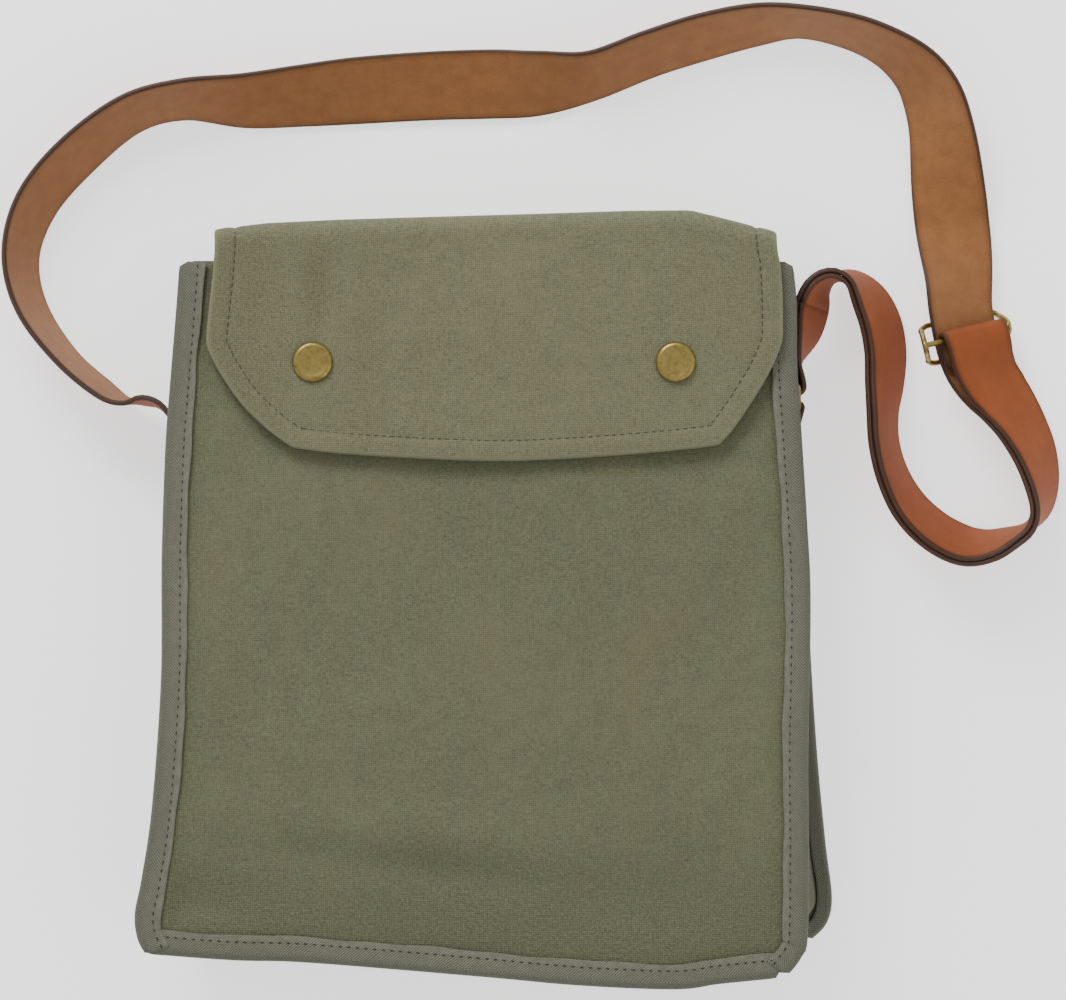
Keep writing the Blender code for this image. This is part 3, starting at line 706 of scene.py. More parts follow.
@dataclass(frozen=True)
class BrassFinish(Finish):
    """Antique brass: dulled faces, rubbed bright spots and fine scratches."""

    tarnish: Colour

    def paint(self, g: Graph, shader: bpy.types.Node, effects: Effects) -> None:
        """Tarnish in patches, with scratches in the roughness and the relief."""
        place = g.node("ShaderNodeTexCoord").outputs["Object"]
        dye = g.noise(place, 420.0, 4.0)
        scratch = g.noise(place, 1.0, 3.0, (500, 5200, 500))
        dull = g.times(g.remap(dye, 0.42, 0.66), 0.75)
        colour = g.blend(dull, rgba(self.colour), rgba(self.tarnish))
        rough = g.math("ADD", g.remap(dye, 0.3, 0.7, 0.26, 0.46), g.times(scratch, 0.12))
        self.surface(g, shader, colour, rough, (0.25, 0.00005, g.math("ADD", scratch, dye)),
                     Metallic=1.0)


@dataclass
class Finishes:
    """Every finish of the bag."""

    canvas: bpy.types.Material = field(init=False)
    flap: bpy.types.Material = field(init=False)
    gusset: bpy.types.Material = field(init=False)
    tape: bpy.types.Material = field(init=False)
    thread: bpy.types.Material = field(init=False)
    flap_thread: bpy.types.Material = field(init=False)
    grain: bpy.types.Material = field(init=False)
    flesh: bpy.types.Material = field(init=False)
    edge: bpy.types.Material = field(init=False)
    brass: bpy.types.Material = field(init=False)

    def __post_init__(self) -> None:
        """Make every material."""
        effects = Effects()
        # The second colour is painted shade on the panels and real stains on the flap's lining.
        warm, shade_and_stain_tone = (0.158, 0.136, 0.076), (0.074, 0.078, 0.045)
        finishes = {
            "canvas": ClothFinish("olive_canvas", (0.129, 0.133, 0.077), warm, shade_and_stain_tone),
            "flap": ClothFinish("olive_flap_canvas", (0.153, 0.154, 0.089), warm,
                                (0.084, 0.082, 0.043)),
            "gusset": ClothFinish("olive_gusset_canvas", (0.115, 0.112, 0.070), warm, shade_and_stain_tone),
            "tape": TapeFinish("chevron_tape", (0.228, 0.230, 0.170), (0.270, 0.275, 0.205)),
            "thread": TapeFinish("tape_thread", (0.060, 0.060, 0.042), (0.08, 0.08, 0.06)),
            "flap_thread": TapeFinish("flap_thread", (0.105, 0.102, 0.066), (0.13, 0.13, 0.09)),
            "grain": HideFinish("tan_grain_leather", (0.320, 0.092, 0.031),
                                (0.215, 0.056, 0.019), (0.62, 0.76), specular=0.1),
            "flesh": HideFinish("brushed_flesh_leather", (0.315, 0.137, 0.050),
                                (0.255, 0.104, 0.038), (0.8, 0.96), suede=1.0, bump=0.0003,
                                specular=0.12),
            "edge": HideFinish("burnished_edge", (0.105, 0.040, 0.018), (0.060, 0.024, 0.012),
                               (0.35, 0.6)),
            "brass": BrassFinish("antique_brass", (0.36, 0.275, 0.088), (0.20, 0.135, 0.038))}
        for key, finish in finishes.items():
            setattr(self, key, finish.make(effects))

    @property
    def leather(self) -> list[bpy.types.Material]:
        """The strap's grain side, flesh side and edge."""
        return [self.grain, self.flesh, self.edge]


def paint(obj: bpy.types.Object, materials: Sequence[bpy.types.Material]) -> None:
    """Give a piece these materials and no others."""
    obj.data.materials.clear()
    for material in materials:
        obj.data.materials.append(material)


def dress(obj: bpy.types.Object, body: Body,
          materials: Sequence[bpy.types.Material]) -> None:
    """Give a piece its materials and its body."""
    paint(obj, materials)
    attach(obj, body.value)
    LOG.info("%s rides on %s, %d faces", obj.name, body.value, len(obj.data.polygons))


# ---- the bag's seams -------------------------------------------------------------------------
@dataclass
class Seam:
    """The outer line of a bound seam, run down the left, along the bottom and up the right."""

    left: Sequence[Point]
    bottom: Sequence[Point]
    right: Sequence[Point]

    def sides(self, count: int) -> list[Array]:
        """The three runs from corner to corner, as evenly spaced points in metres."""
        left, bottom, right = self.runs()
        near, far = (left[-1] + bottom[0]) / 2, (bottom[-1] + right[0]) / 2
        return [even_path(np.vstack(line), count)
                for line in ([left, near], [near, bottom[1:-1], far], [far, right])]

    def runs(self) -> tuple[Array, Array, Array]:
        """The left, bottom and right runs as dense lines, in metres."""
        return tuple(smooth_path(knots, 14) * MM for knots in (self.left, self.bottom, self.right))


FRONT_SEAM = Seam(
    left=[(-126.5, 138.6), (-128, 118), (-130.5, 87.5), (-132.5, 60), (-134, 14), (-134.3, -35),
          (-138, -88), (-142.3, -118), (-145.2, -133), (-144.2, -143), (-141.2, -149.5)],
    bottom=[(-139, -150), (-104, -152.5), (-73, -153.5), (-1.5, -159.3), (40, -163), (80, -164.6),
            (98, -162.4), (122, -160)],
    right=[(127.5, -158), (132.5, -151), (135, -143), (135.5, -106), (135.2, -67), (136.2, -4),
           (134.7, 31), (131.7, 78), (130.6, 97), (130.4, 121), (128.7, 138.6)])
BACK_SEAM = Seam(
    left=[(-128.5, 138.6), (-131, 60), (-133, -35), (-136, -105), (-136.5, -128), (-134.5, -138)],
    bottom=[(-131, -141.5), (-100, -146), (-40, -148.5), (40, -149.5), (110, -149.5),
            (135.5, -148.4)],
    right=[(139, -147), (145.2, -140), (147.3, -129), (144.6, -106), (141.2, -70), (138.4, -28),
           (135.4, 31), (131.8, 80), (129.3, 138.6)])


@dataclass
class Binding:
    """Tape folded over a seam's raw edges and sewn through."""

    seam: Seam
    label: str
    facing: int
    width: float = 0.0108
    inner_width: float = 0.0066
    thickness: float = 0.0010
    stitch_inset: float = 0.0079
    pitch: float = 0.0036
    corner: float = 0.0035
    overrun: float = 0.002
    station: float = 0.0022
    around_fold: float = 0.009

    def heights(self) -> tuple[float, float]:
        """The heights of the tape's outer and inner faces."""
        low, high = (end[2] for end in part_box(f"{self.label}_binding_left"))
        return (high, low) if self.facing > 0 else (low, high)

    def section(self) -> tuple[Array, Array]:
        """(inset, height) points round the folded tape, and how far along the tape each is."""
        outer_z, inner_z = self.heights()
        t, way = self.thickness, -self.facing
        turns = np.linspace(0, math.pi, 9)
        radius = abs(outer_z - inner_z) / 2
        middle = (outer_z + inner_z) / 2
        outside = [(self.width, outer_z - way * 0.0001), (self.width - 0.0006, outer_z)]
        outside += [(x, outer_z) for x in np.linspace(self.width - 0.002, radius, 7)]
        outside += [(radius - radius * math.sin(a), middle - way * radius * math.cos(a))
                    for a in turns[1:]]
        outside += [(x, inner_z) for x in np.linspace(radius + 0.0015, self.inner_width, 3)]
        core = radius - t
        inside = [(self.inner_width, inner_z - way * t)]
        inside += [(radius - core * math.sin(a), middle - way * core * math.cos(a))
                   for a in turns[::-1]]
        inside += [(x, outer_z + way * t) for x in np.linspace(radius + 0.002, self.width, 4)]
        points = np.array(outside + inside)
        return points, distances(points)

    def run(self, side: str, knots: Sequence[Point], finishes: Finishes,
            start: float = 0.0, end: float = 0.0) -> None:
        """Build one run of tape and its stitches.

        Args:
            side: left, bottom or right.
            knots: the seam's points along this run.
            finishes: the bag's finishes.
            start: how far past its first knot the tape begins.
            end: how far past its last knot the tape ends.
        """
        dense = smooth_path(knots) * MM
        first = dense[0] + (dense[0] - dense[2]) / np.linalg.norm(dense[0] - dense[2]) * start
        last = dense[-1] + (dense[-1] - dense[-3]) / np.linalg.norm(dense[-1] - dense[-3]) * end
        dense = np.vstack([first, dense, last])
        count = int(path_length(dense) / self.station)
        line = even_path(dense, count)
        into = inward(line)
        points, across = self.section()
        along = np.linspace(0, path_length(line), count)
        phase = {"left": 0.0, "bottom": 1.7, "right": 3.1}[side] + self.facing
        wave = 0.00028 * np.sin(along * 95 + phase) + 0.0002 * np.sin(along * 231 + 2 * phase)
        lift = 0.00035 * np.sin(along * 61 + phase * 2) * self.facing
        to_end = np.clip(np.minimum(along, along[-1] - along) / self.corner, 0, 1)
        rounded = self.corner * (1 - np.sqrt(1 - (1 - to_end) ** 2))
        grid = np.empty((count, len(points), 3))
        for j, (inset, z) in enumerate(points):
            reach = np.maximum(inset + wave * (inset / self.width), rounded)
            grid[:, j, :2] = line + into * reach[:, None]
            grid[:, j, 2] = z + lift * (inset / self.width)
        name = f"{self.label}_tape_{side}"
        uv = np.stack(np.broadcast_arrays(along[:, None], across[None, :]), axis=2)
        tape = make_mesh(name, grid, belt_faces(count, len(points)), uv)
        selvedge = ease((points[:, 0] - self.stitch_inset) / 0.0012)
        selvedge *= np.where(np.arange(len(points)) < 9, 1.0, 0.2)
        vertex_mask(tape, "rim", np.broadcast_to(selvedge, (count, len(points))))
        # Painted shade round the tape's outer fold.
        stain_and_shade_mask = np.exp(-(points[:, 0] / 0.0028) ** 2)
        vertex_mask(tape, "stain_and_shade_mask", np.broadcast_to(stain_and_shade_mask, (count, len(points))))
        face_out(tape)
        dress(tape, Body.BAG, [finishes.tape])
        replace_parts(tape, f"{self.label}_binding_{side}")
        self.sew(name, line, into, lift, finishes)

    def sew(self, name: str, line: Array, into: Array, lift: Array,
            finishes: Finishes) -> None:
        """Sew one run of tape down, near its inner edge."""
        face_z = self.heights()[0]
        share = self.stitch_inset / self.width
        flat = line + into * self.stitch_inset
        path = np.column_stack([flat, face_z + lift * share - self.facing * 0.00002])
        normals = np.tile([0.0, 0.0, float(self.facing)], (len(path), 1))
        points, faces = stitches(name, path, normals, self.pitch, (0.0017, 0.0007, 0.0006))
        thread = make_mesh(name.replace("tape", "stitches"), points, faces,
                           np.array(points)[:, :2])
        dress(thread, Body.BAG, [finishes.thread])

    def build(self, finishes: Finishes) -> None:
        """Build the three runs of tape of this seam."""
        seam, over = self.seam, self.overrun
        self.run("left", seam.left, finishes, end=over)
        self.run("bottom", seam.bottom, finishes, start=over, end=over)
        self.run("right", seam.right, finishes, start=over)


# ---- floor, light and camera -----------------------------------------------------------------
@dataclass
class Studio:
    """A plain pale floor, soft daylight from large panels, and the camera above the bag."""

    centre: tuple[float, float] = (0.0206, 0.0391)
    distance: float = 2.6
    lens: float = 207.0
    sensor: float = 36.0
    floor_glow: float = 1.1
    sky_glow: float = 0.72

    def floor(self) -> None:
        """Lay the pale floor just under the bag."""
        bpy.ops.mesh.primitive_plane_add(size=6.0, location=(0.0, 0.0, -0.0002))
        ground = bpy.context.active_object
        ground.name = "studio_floor"
        material, _, shader = new_material("studio_floor")
        for key, value in (("Base Color", rgba((0.93,) * 3)), ("Roughness", 0.9),
                           ("Emission Color", rgba((1.0,) * 3)),
                           ("Emission Strength", self.floor_glow)):
            shader.inputs[key].default_value = value
        ground.data.materials.append(material)

    def panel(self, name: str, place: Sequence[float], size: float, power: float) -> None:
        """Hang one soft light that faces the bag.

        Args:
            name: the light's name.
            place: where it hangs.
            size: its side.
            power: its power in watts.
        """
        bpy.ops.object.light_add(type="AREA", location=place)
        lamp = bpy.context.active_object
        lamp.name = name
        lamp.data.size = size
        lamp.data.energy = power
        aim = Vector((*self.centre, 0.0)) - Vector(place)
        lamp.rotation_euler = aim.to_track_quat("-Z", "Y").to_euler()

    def build(self) -> None:
        """Build the floor, the lights, the sky and the camera."""
        self.floor()
        self.panel("key_panel", (-0.6, 1.5, 1.2), 0.8, 27.0)
        self.panel("fill_panel", (1.2, -0.7, 1.6), 1.6, 6.0)
        world = bpy.data.worlds.new("soft_sky")
        world.use_nodes = True
        sky = world.node_tree.nodes["Background"]
        sky.inputs[0].default_value = rgba((1.0,) * 3)
        sky.inputs[1].default_value = self.sky_glow
        bpy.context.scene.world = world
        bpy.ops.object.camera_add(location=(*self.centre, self.distance), rotation=(0, 0, 0))
        camera = bpy.context.active_object
        camera.data.lens = self.lens
        camera.data.sensor_width = self.sensor
        bpy.context.scene.camera = camera
        LOG.info("camera over (%.3f, %.3f)", *self.centre)


# ---- the strap -------------------------------------------------------------------------------
LONG_ROUTE = [
    (-128.2, 36, 90, 8), (-128.2, 50, 90, 8), (-128.6, 62, 90, 8), (-130.6, 72, 91, 8),
    (-136.5, 79, 93, 7), (-144, 80.8, 94, 4.5), (-151, 80.4, 86, 2), (-160, 85, 78, 0.9),
    (-176.4, 99.1, 76, 0.7), (-191, 120, 71, 0.8), (-195.7, 142, 67, 0.9), (-189, 164.2, 61, 1),
    (-172.2, 184.4, 59, 1), (-149.5, 202, 63, 1), (-127, 208.2, 62, 1), (-101, 207.8, 48, 1.2),
    (-76.4, 210, 39, 1.3), (-52.5, 212.3, 31, 1.4), (-23.5, 214.2, 28, 1.4), (2.5, 215, 27, 1.4),
    (22, 215.2, 34, 1.4), (45, 218.2, 53, 1.2), (69.7, 227.5, 56, 1), (92.8, 234.8, 56, 1),
    (115, 239.8, 61, 0.9), (134, 241, 70, 0.8), (154.6, 236.9, 68, 0.8), (170.5, 230, 63, 0.9),
    (182.5, 220.5, 52, 1.1), (189.6, 209, 41, 1.3), (193.6, 194, 33, 1.4), (196.4, 171, 13, 2),
    (198.8, 150, -5, 3.4), (200.3, 134, -22, 5.6), (201.6, 120, -29, 6.6)]
SLIDE_POINT = (203.7, 108.4, -29, 6.8)
DOUBLE_ROUTE = [
    (207, 98, -29, 6.6), (211.8, 90, -33, 5), (219, 81.8, -40, 3.4), (226, 71.5, -49, 2.4),
    (232, 59, -56, 1.9), (235, 46, -65, 1.5), (234.4, 35.2, -76, 1.1), (229.4, 27.2, -90, 0.5),
    (221, 22.8, -100, 0.9), (212, 19.8, -109, 1.4), (201.5, 20.2, -117, 1.8),
    (190, 26, -118, 1.8), (179.6, 36, -116, 1.7), (172.4, 49, -112, 1.5), (168.6, 63, -110, 1.4),
    (168, 76, -111, 1.4), (168.8, 88, -117, 1.7), (169.2, 101.6, -120, 2), (167, 114, -120, 2.1),
    (162, 124.6, -115, 2), (155, 132, -101, 2.8), (146.8, 133.2, -86, 4.6),
    (140.6, 128.4, -74, 6.8), (137.6, 119.4, -67, 8), (135.4, 109.4, -72, 9)]
RING_WIRE = 0.0015


@dataclass(frozen=True)
class StrapSizes:
    """The strap and the metal that it runs through."""

    width: float = 0.03175
    thickness: float = 0.0023
    layer: float = 0.00145
    loop_radius: float = 0.0031
    fold_radius: float = 0.0028
    bar_rise: float = 0.0045
    wire: float = 0.0012
    slide_half: float = 0.0080
    slide_slack: float = 0.0014
    slide_ease: float = 0.0006
    slide_bulge: float = 0.0012
    outer_bow: float = 0.0060
    ring_pitch: float = 0.0090
    ring_leg: float = 0.0100
    turn_length: float = 0.034
    doubling: float = 0.030
    blend_start: float = 0.0063
    blend_run: float = 0.0092


STRAP = StrapSizes()


@dataclass
class Route:
    """The strap's middle surface, read by distance along it."""

    rows: Array
    at: Array = field(init=False)

    def __post_init__(self) -> None:
        """Measure the distance to every row."""
        self.at = distances(self.rows[:, :2])

    @property
    def length(self) -> float:
        """The route's length on the floor."""
        return float(self.at[-1])

    def read(self, distance: float) -> Array:
        """x, y, lean and lift at a distance, straight on past either end."""
        i = int(np.clip(np.searchsorted(self.at, distance) - 1, 0, len(self.at) - 2))
        share = (distance - self.at[i]) / (self.at[i + 1] - self.at[i])
        return self.rows[i] + (self.rows[i + 1] - self.rows[i]) * share

    def frame(self, distance: float) -> tuple[Array, Array, Array, Array]:
        """Point, direction, width direction and normal of the strap's middle surface."""
        x, y, lean, lift = self.read(distance)
        step = (self.read(distance + 0.001) - self.read(distance - 0.001))[:2]
        ahead = np.array([*step / np.linalg.norm(step), 0.0])
        left, up = np.array([-ahead[1], ahead[0], 0.0]), np.array([0.0, 0.0, 1.0])
        turn = math.radians(lean)
        across = left * math.cos(turn) + up * math.sin(turn)
        normal = up * math.cos(turn) - left * math.sin(turn)
        middle = np.array([x, y, lift + STRAP.width / 2 * abs(math.sin(turn))])
        return middle, ahead, across, normal

    def nearest(self, x: float, y: float) -> float:
        """The distance along the route that comes nearest to a place."""
        gaps = np.linalg.norm(self.rows[:, :2] - np.array([x, y]), axis=1)
        return float(self.at[int(gaps.argmin())])


Row = tuple[Array, Array, Array]


def strap_route() -> Route:
    """The whole route in metres, ending straight at the ring's bar."""
    (low_x, low_y, low_z), (high_x, _, _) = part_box("strap_ring")
    ring_x = (low_x + high_x) / 2
    at_bar = low_y + RING_WIRE + STRAP.ring_pitch
    level = low_z + RING_WIRE * 2 + 0.0008
    knots = [(x * MM, y * MM, lean, lift * MM)
             for x, y, lean, lift in LONG_ROUTE + [SLIDE_POINT] + DOUBLE_ROUTE]
    knots += [(ring_x, at_bar + STRAP.ring_leg, -88.0, level), (ring_x, at_bar, -90.0, level)]
    return Route(smooth_path(knots, 10))


@dataclass
class Belt:
    """A run of strap: cross lines, each with the way its grain side faces."""

    name: str
    rows: list[Row]
    width: float = STRAP.width
    thickness: float = STRAP.thickness

    def section(self) -> tuple[Array, Array, Array]:
        """(across, out) points round the strap, each point's edge wear and each face's slot."""
        half, deep = self.width / 2, self.thickness / 2
        flat = np.array([-1, -0.93, -0.8, -0.55, -0.2, 0.2, 0.55, 0.8, 0.93, 1]) * (half - 0.0007)
        grain = [(x, deep) for x in flat]
        flesh = [(x, -deep) for x in flat[::-1]]
        right = [(half - 0.0002, deep * 0.62), (half, 0), (half - 0.0002, -deep * 0.62)]
        left = [(-x, -z) for x, z in right]
        wear = [1, 0.35, 0, 0, 0, 0, 0, 0, 0.35, 1] + [0.7, 0.15, 0.7]
        slots = [0] * 9 + [2] * 4 + [1] * 9 + [2] * 4
        return np.array(grain + right + flesh + left), np.array(wear * 2), np.array(slots)

    def centres(self) -> Array:
        """The middle of every cross line."""
        return np.array([row[0] for row in self.rows])

    def build(self, body: Body | None, materials: Sequence[bpy.types.Material]
              ) -> bpy.types.Object:
        """Build the run of strap.

        Args:
            body: the body that it rides on, or None where it rides on none.
            materials: grain side, flesh side and edge.

        Returns:
            The new object.
        """
        section, wear, slots = self.section()
        count, around = len(self.rows), len(section)
        centre, across, out = (np.array([row[i] for row in self.rows]) for i in range(3))
        along = distances(centre)
        cup = -0.00025 * (section[:, 0] / (self.width / 2)) ** 2
        grid = (centre[:, None] + across[:, None] * section[None, :, :1]
                + out[:, None] * (section[:, 1] + cup)[None, :, None])
        uv = np.empty((count, around, 2))
        uv[..., 0] = along[:, None]
        uv[..., 1] = (section[:, 0] + np.where(section[:, 1] < 0, 0.08, 0.0))[None]
        index = list(np.tile(slots, count - 1))
        obj = make_mesh(self.name, grid, belt_faces(count, around), uv)
        vertex_mask(obj, "rim", np.broadcast_to(wear, (count, around)))
        paint(obj, materials)
        obj.data.polygons.foreach_set("material_index", np.array(index + [2, 2], np.int32))
        face_out(obj)
        if body is not None:
            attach(obj, body.value)
        LOG.info("%s: %.0f mm of strap", self.name, along[-1] / MM)
        return obj


@dataclass
class StrapWork:
    """The strap: its long run, its turn round the ring and its return to the slide."""

    finishes: Finishes
    station: float = 0.0025
    tight: float = 1e-9

    def lines(self, route: Route, path: Sequence[Point], facing: int) -> list[Row]:
        """Cross lines for (distance, offset) pairs; facing is the grain side's way."""
        rows = []
        for distance, offset in path:
            middle, _, across, normal = route.frame(distance)
            rows.append((middle + normal * offset, across, normal * facing))
        return rows

    def stations(self, route: Route, start: float, end: float) -> list[float]:
        """Distances that both layers are drawn at, so that they stay parallel."""
        count = int(route.length / self.station) + 1
        inner = [d for d in np.linspace(0.0, route.length, count) if start < d < end]
        return [start] + inner + [end]

    def offset(self, route: Route, distance: float) -> float:
        """How far each layer of the doubled strap is from its middle surface."""
        near = float(ease(1 - (route.length - distance) / 0.012))
        return STRAP.layer + (STRAP.loop_radius - STRAP.layer) * near

    def build(self) -> None:
        """Build the strap's three pieces and the slide."""
        route = strap_route()
        slide_at = route.nearest(SLIDE_POINT[0] * MM, SLIDE_POINT[1] * MM)
        split = route.length - STRAP.turn_length
        leather = self.finishes.leather
        down, up = [], []
        for distance in self.stations(route, 0.0, route.length):
            doubled = float(ease((distance - slide_at + STRAP.doubling) / 0.020))
            down.append((distance, -doubled * self.offset(route, distance)))
        run_end = slide_at + STRAP.doubling
        top = STRAP.bar_rise + STRAP.fold_radius
        for distance in self.stations(route, slide_at + 0.002, route.length)[::-1]:
            share = float(ease((run_end - distance) / (run_end - slide_at - 0.004)))
            sewn = float(ease((run_end - distance) / 0.0015)) * 0.0006
            reach = self.offset(route, distance) + sewn
            up.append((distance, reach + (top - STRAP.layer) * share))
        turn = self.ring_turn(route)
        before = [pair for pair in down if pair[0] <= split + self.tight]
        after = [pair for pair in down if pair[0] >= before[-1][0]]
        back = [pair for pair in up if pair[0] >= before[-1][0] - self.tight]
        home = [pair for pair in up if pair[0] <= back[-1][0] + self.tight]
        self.long_run(route, before, leather)
        loop = Belt("strap_turn", self.lines(route, after, -1) + turn
                    + self.lines(route, back, 1)).build(None, leather)
        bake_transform(loop)
        self.pieces(route, slide_at, home, leather)

    def long_run(self, route: Route, path: Sequence[Point],
                 leather: Sequence[bpy.types.Material]) -> None:
        """Build the long run, from the left gusset to just before the ring."""
        self.long = Belt("shoulder_strap", self.lines(route, path, -1))
        self.long_object = self.long.build(Body.BAG, leather)
        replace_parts(self.long_object, "strap_long")

    def ring_turn(self, route: Route) -> list[Row]:
        """Cross lines round the ring's bar, from the long run to the returning run."""
        middle, ahead, across, normal = route.frame(route.length)
        rows = []
        for angle in np.radians(np.linspace(12, 168, 13)):
            out = ahead * math.sin(angle) - normal * math.cos(angle)
            rows.append((middle + out * STRAP.loop_radius, across, out))
        return rows

    def pieces(self, route: Route, slide_at: float, path: Sequence[Point],
               leather: Sequence[bpy.types.Material]) -> None:
        """Build the returning run with its folded end, and the slide."""
        middle, ahead, across, normal = route.frame(slide_at)
        rows = self.lines(route, path, 1)
        for angle in np.radians(np.linspace(0, 165, 12)):
            out = normal * math.cos(angle) - ahead * math.sin(angle)
            centre = middle + normal * STRAP.bar_rise + out * STRAP.fold_radius
            rows.append((centre, across, out))
        rows += self.lines(route, [(slide_at + 0.004, STRAP.layer),
                                   (slide_at + 0.010, STRAP.layer)], -1)
        belt = Belt("strap_end", rows)
        end = belt.build(None, leather)
        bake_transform(end)
        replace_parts(end, "strap_return")
        line = self.long.centres()
        fittings = SlideWork(self.finishes, middle, ahead, across, normal).build()


def wire(name: str, points: Sequence[Sequence[float]], radius: float,
         closed: bool) -> bpy.types.Object:
    """A round wire bent along points.

    Args:
        name: the piece's name.
        points: its centre line.
        radius: the wire's radius.
        closed: whether its ends meet.

    Returns:
        The wire as a mesh object.
    """
    curve = bpy.data.curves.new(name, "CURVE")
    curve.dimensions = "3D"
    curve.bevel_depth = radius
    curve.bevel_resolution = 6
    curve.use_fill_caps = not closed
    spline = curve.splines.new("POLY")
    spline.points.add(len(points) - 1)
    for target, place in zip(spline.points, points):
        target.co = (*place, 1.0)
    spline.use_cyclic_u = closed
    obj = bpy.data.objects.new(name, curve)
    bpy.context.scene.collection.objects.link(obj)
    select_only(obj)
    bpy.ops.object.convert(target="MESH")
    face_out(obj)
    obj.data.shade_smooth()
    return obj


@dataclass
class SlideWork:
    """The strap's brass slide: a bent frame whose end bars pass under the strap."""

    finishes: Finishes
    middle: Array
    ahead: Array
    across: Array
    normal: Array

    def place(self, side: float, along: float, height: float) -> Array:
        """A point near the slide's middle."""
        return self.middle + self.across * side + self.ahead * along + self.normal * height

    def build(self) -> list[bpy.types.Object]:
        """Build the frame and its centre bar, and return them."""
        reach = STRAP.width / 2 + STRAP.slide_slack + STRAP.wire
        low = -STRAP.bar_rise - STRAP.slide_ease
        knots = []
        for end in (-1, 1):
            for share in np.linspace(-1, 1, 5):
                knots.append(self.place(-end * share * (reach - 0.003), end * STRAP.slide_half,
                                        low))
            for share in np.linspace(0.85, -0.85, 13):
                arch = math.cos(share * math.pi / 2) ** 2
                bulge = (STRAP.outer_bow * arch if end > 0
                         else STRAP.slide_bulge * abs(math.sin(share * math.pi)))
                knots.append(self.place(-end * (reach + bulge),
                                        end * share * STRAP.slide_half,
                                        low + (STRAP.bar_rise - low) * arch))
        loop = np.array(knots + knots[:1])
        dense = smooth_path(loop, 4)[:-1]
        rail = wire("slide_rail", dense, STRAP.wire, True)
        dress(rail, Body.SLIDE, [self.finishes.brass])
        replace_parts(rail, "slide_frame")
        inside = self.across * (reach - STRAP.wire - 0.0003)
        bar = self.middle + self.normal * STRAP.bar_rise
        outer = self.across * (reach + STRAP.outer_bow)
        rod = wire("slide_centre_bar", np.linspace(bar - outer, bar + inside, 5),
                   STRAP.wire, False)
        dress(rod, Body.SLIDE, [self.finishes.brass])
        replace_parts(rod, "slide_bar")
        return [rail, rod]


# ---- panels and gussets ----------------------------------------------------------------------
def waves(x: Array, y: Array, size: float, seed: int) -> Array:
    """Gentle uneven height over a place: a few crossed waves.

    Args:
        x: places across.
        y: places along.
        size: the shortest wave's length.
        seed: chooses the waves.

    Returns:
        Heights of about -1 to 1.
    """
    source = np.random.default_rng(seed)
    total = np.zeros(np.broadcast(x, y).shape)
    for _ in range(9):
        angle = source.uniform(0, math.pi)
        length = size * source.uniform(1.0, 2.8)
        phase = source.uniform(0, 2 * math.pi)
        total += np.sin((x * math.cos(angle) + y * math.sin(angle)) * 2 * math.pi / length
                        + phase)
    return total / 5.0


def swells(x: Array, y: Array, kinds: Sequence[tuple[float, float, int]]) -> Array:
    """Waves of several kinds on top of each other: height, shortest length and seed of each."""
    return sum(height * waves(x, y, size, seed) for height, size, seed in kinds)


@dataclass(frozen=True)
class Spot:
    """A soft oval spot: its middle, its half width, its half height and its strength."""

    x: float
    y: float
    wide: float
    tall: float
    strength: float

    def at(self, x: Array, y: Array) -> Array:
        """How strong it is at some places."""
        return self.strength * np.exp(-(((x - self.x) / self.wide) ** 2
                                        + ((y - self.y) / self.tall) ** 2))


CANVAS_T, TAPE_T, GAP = 0.0014, 0.0010, 0.0003
BOTTOM_CREASE = -0.116
FRONT_Z = sum(end[2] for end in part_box("front_panel")) / 2
FRONT_FLANGE_Z = FRONT_Z - CANVAS_T / 2 - GAP - 0.0006
BACK_EDGE_Z = TAPE_T + GAP + CANVAS_T / 2
BACK_FLANGE_Z = BACK_EDGE_Z + CANVAS_T / 2 + GAP + 0.0006


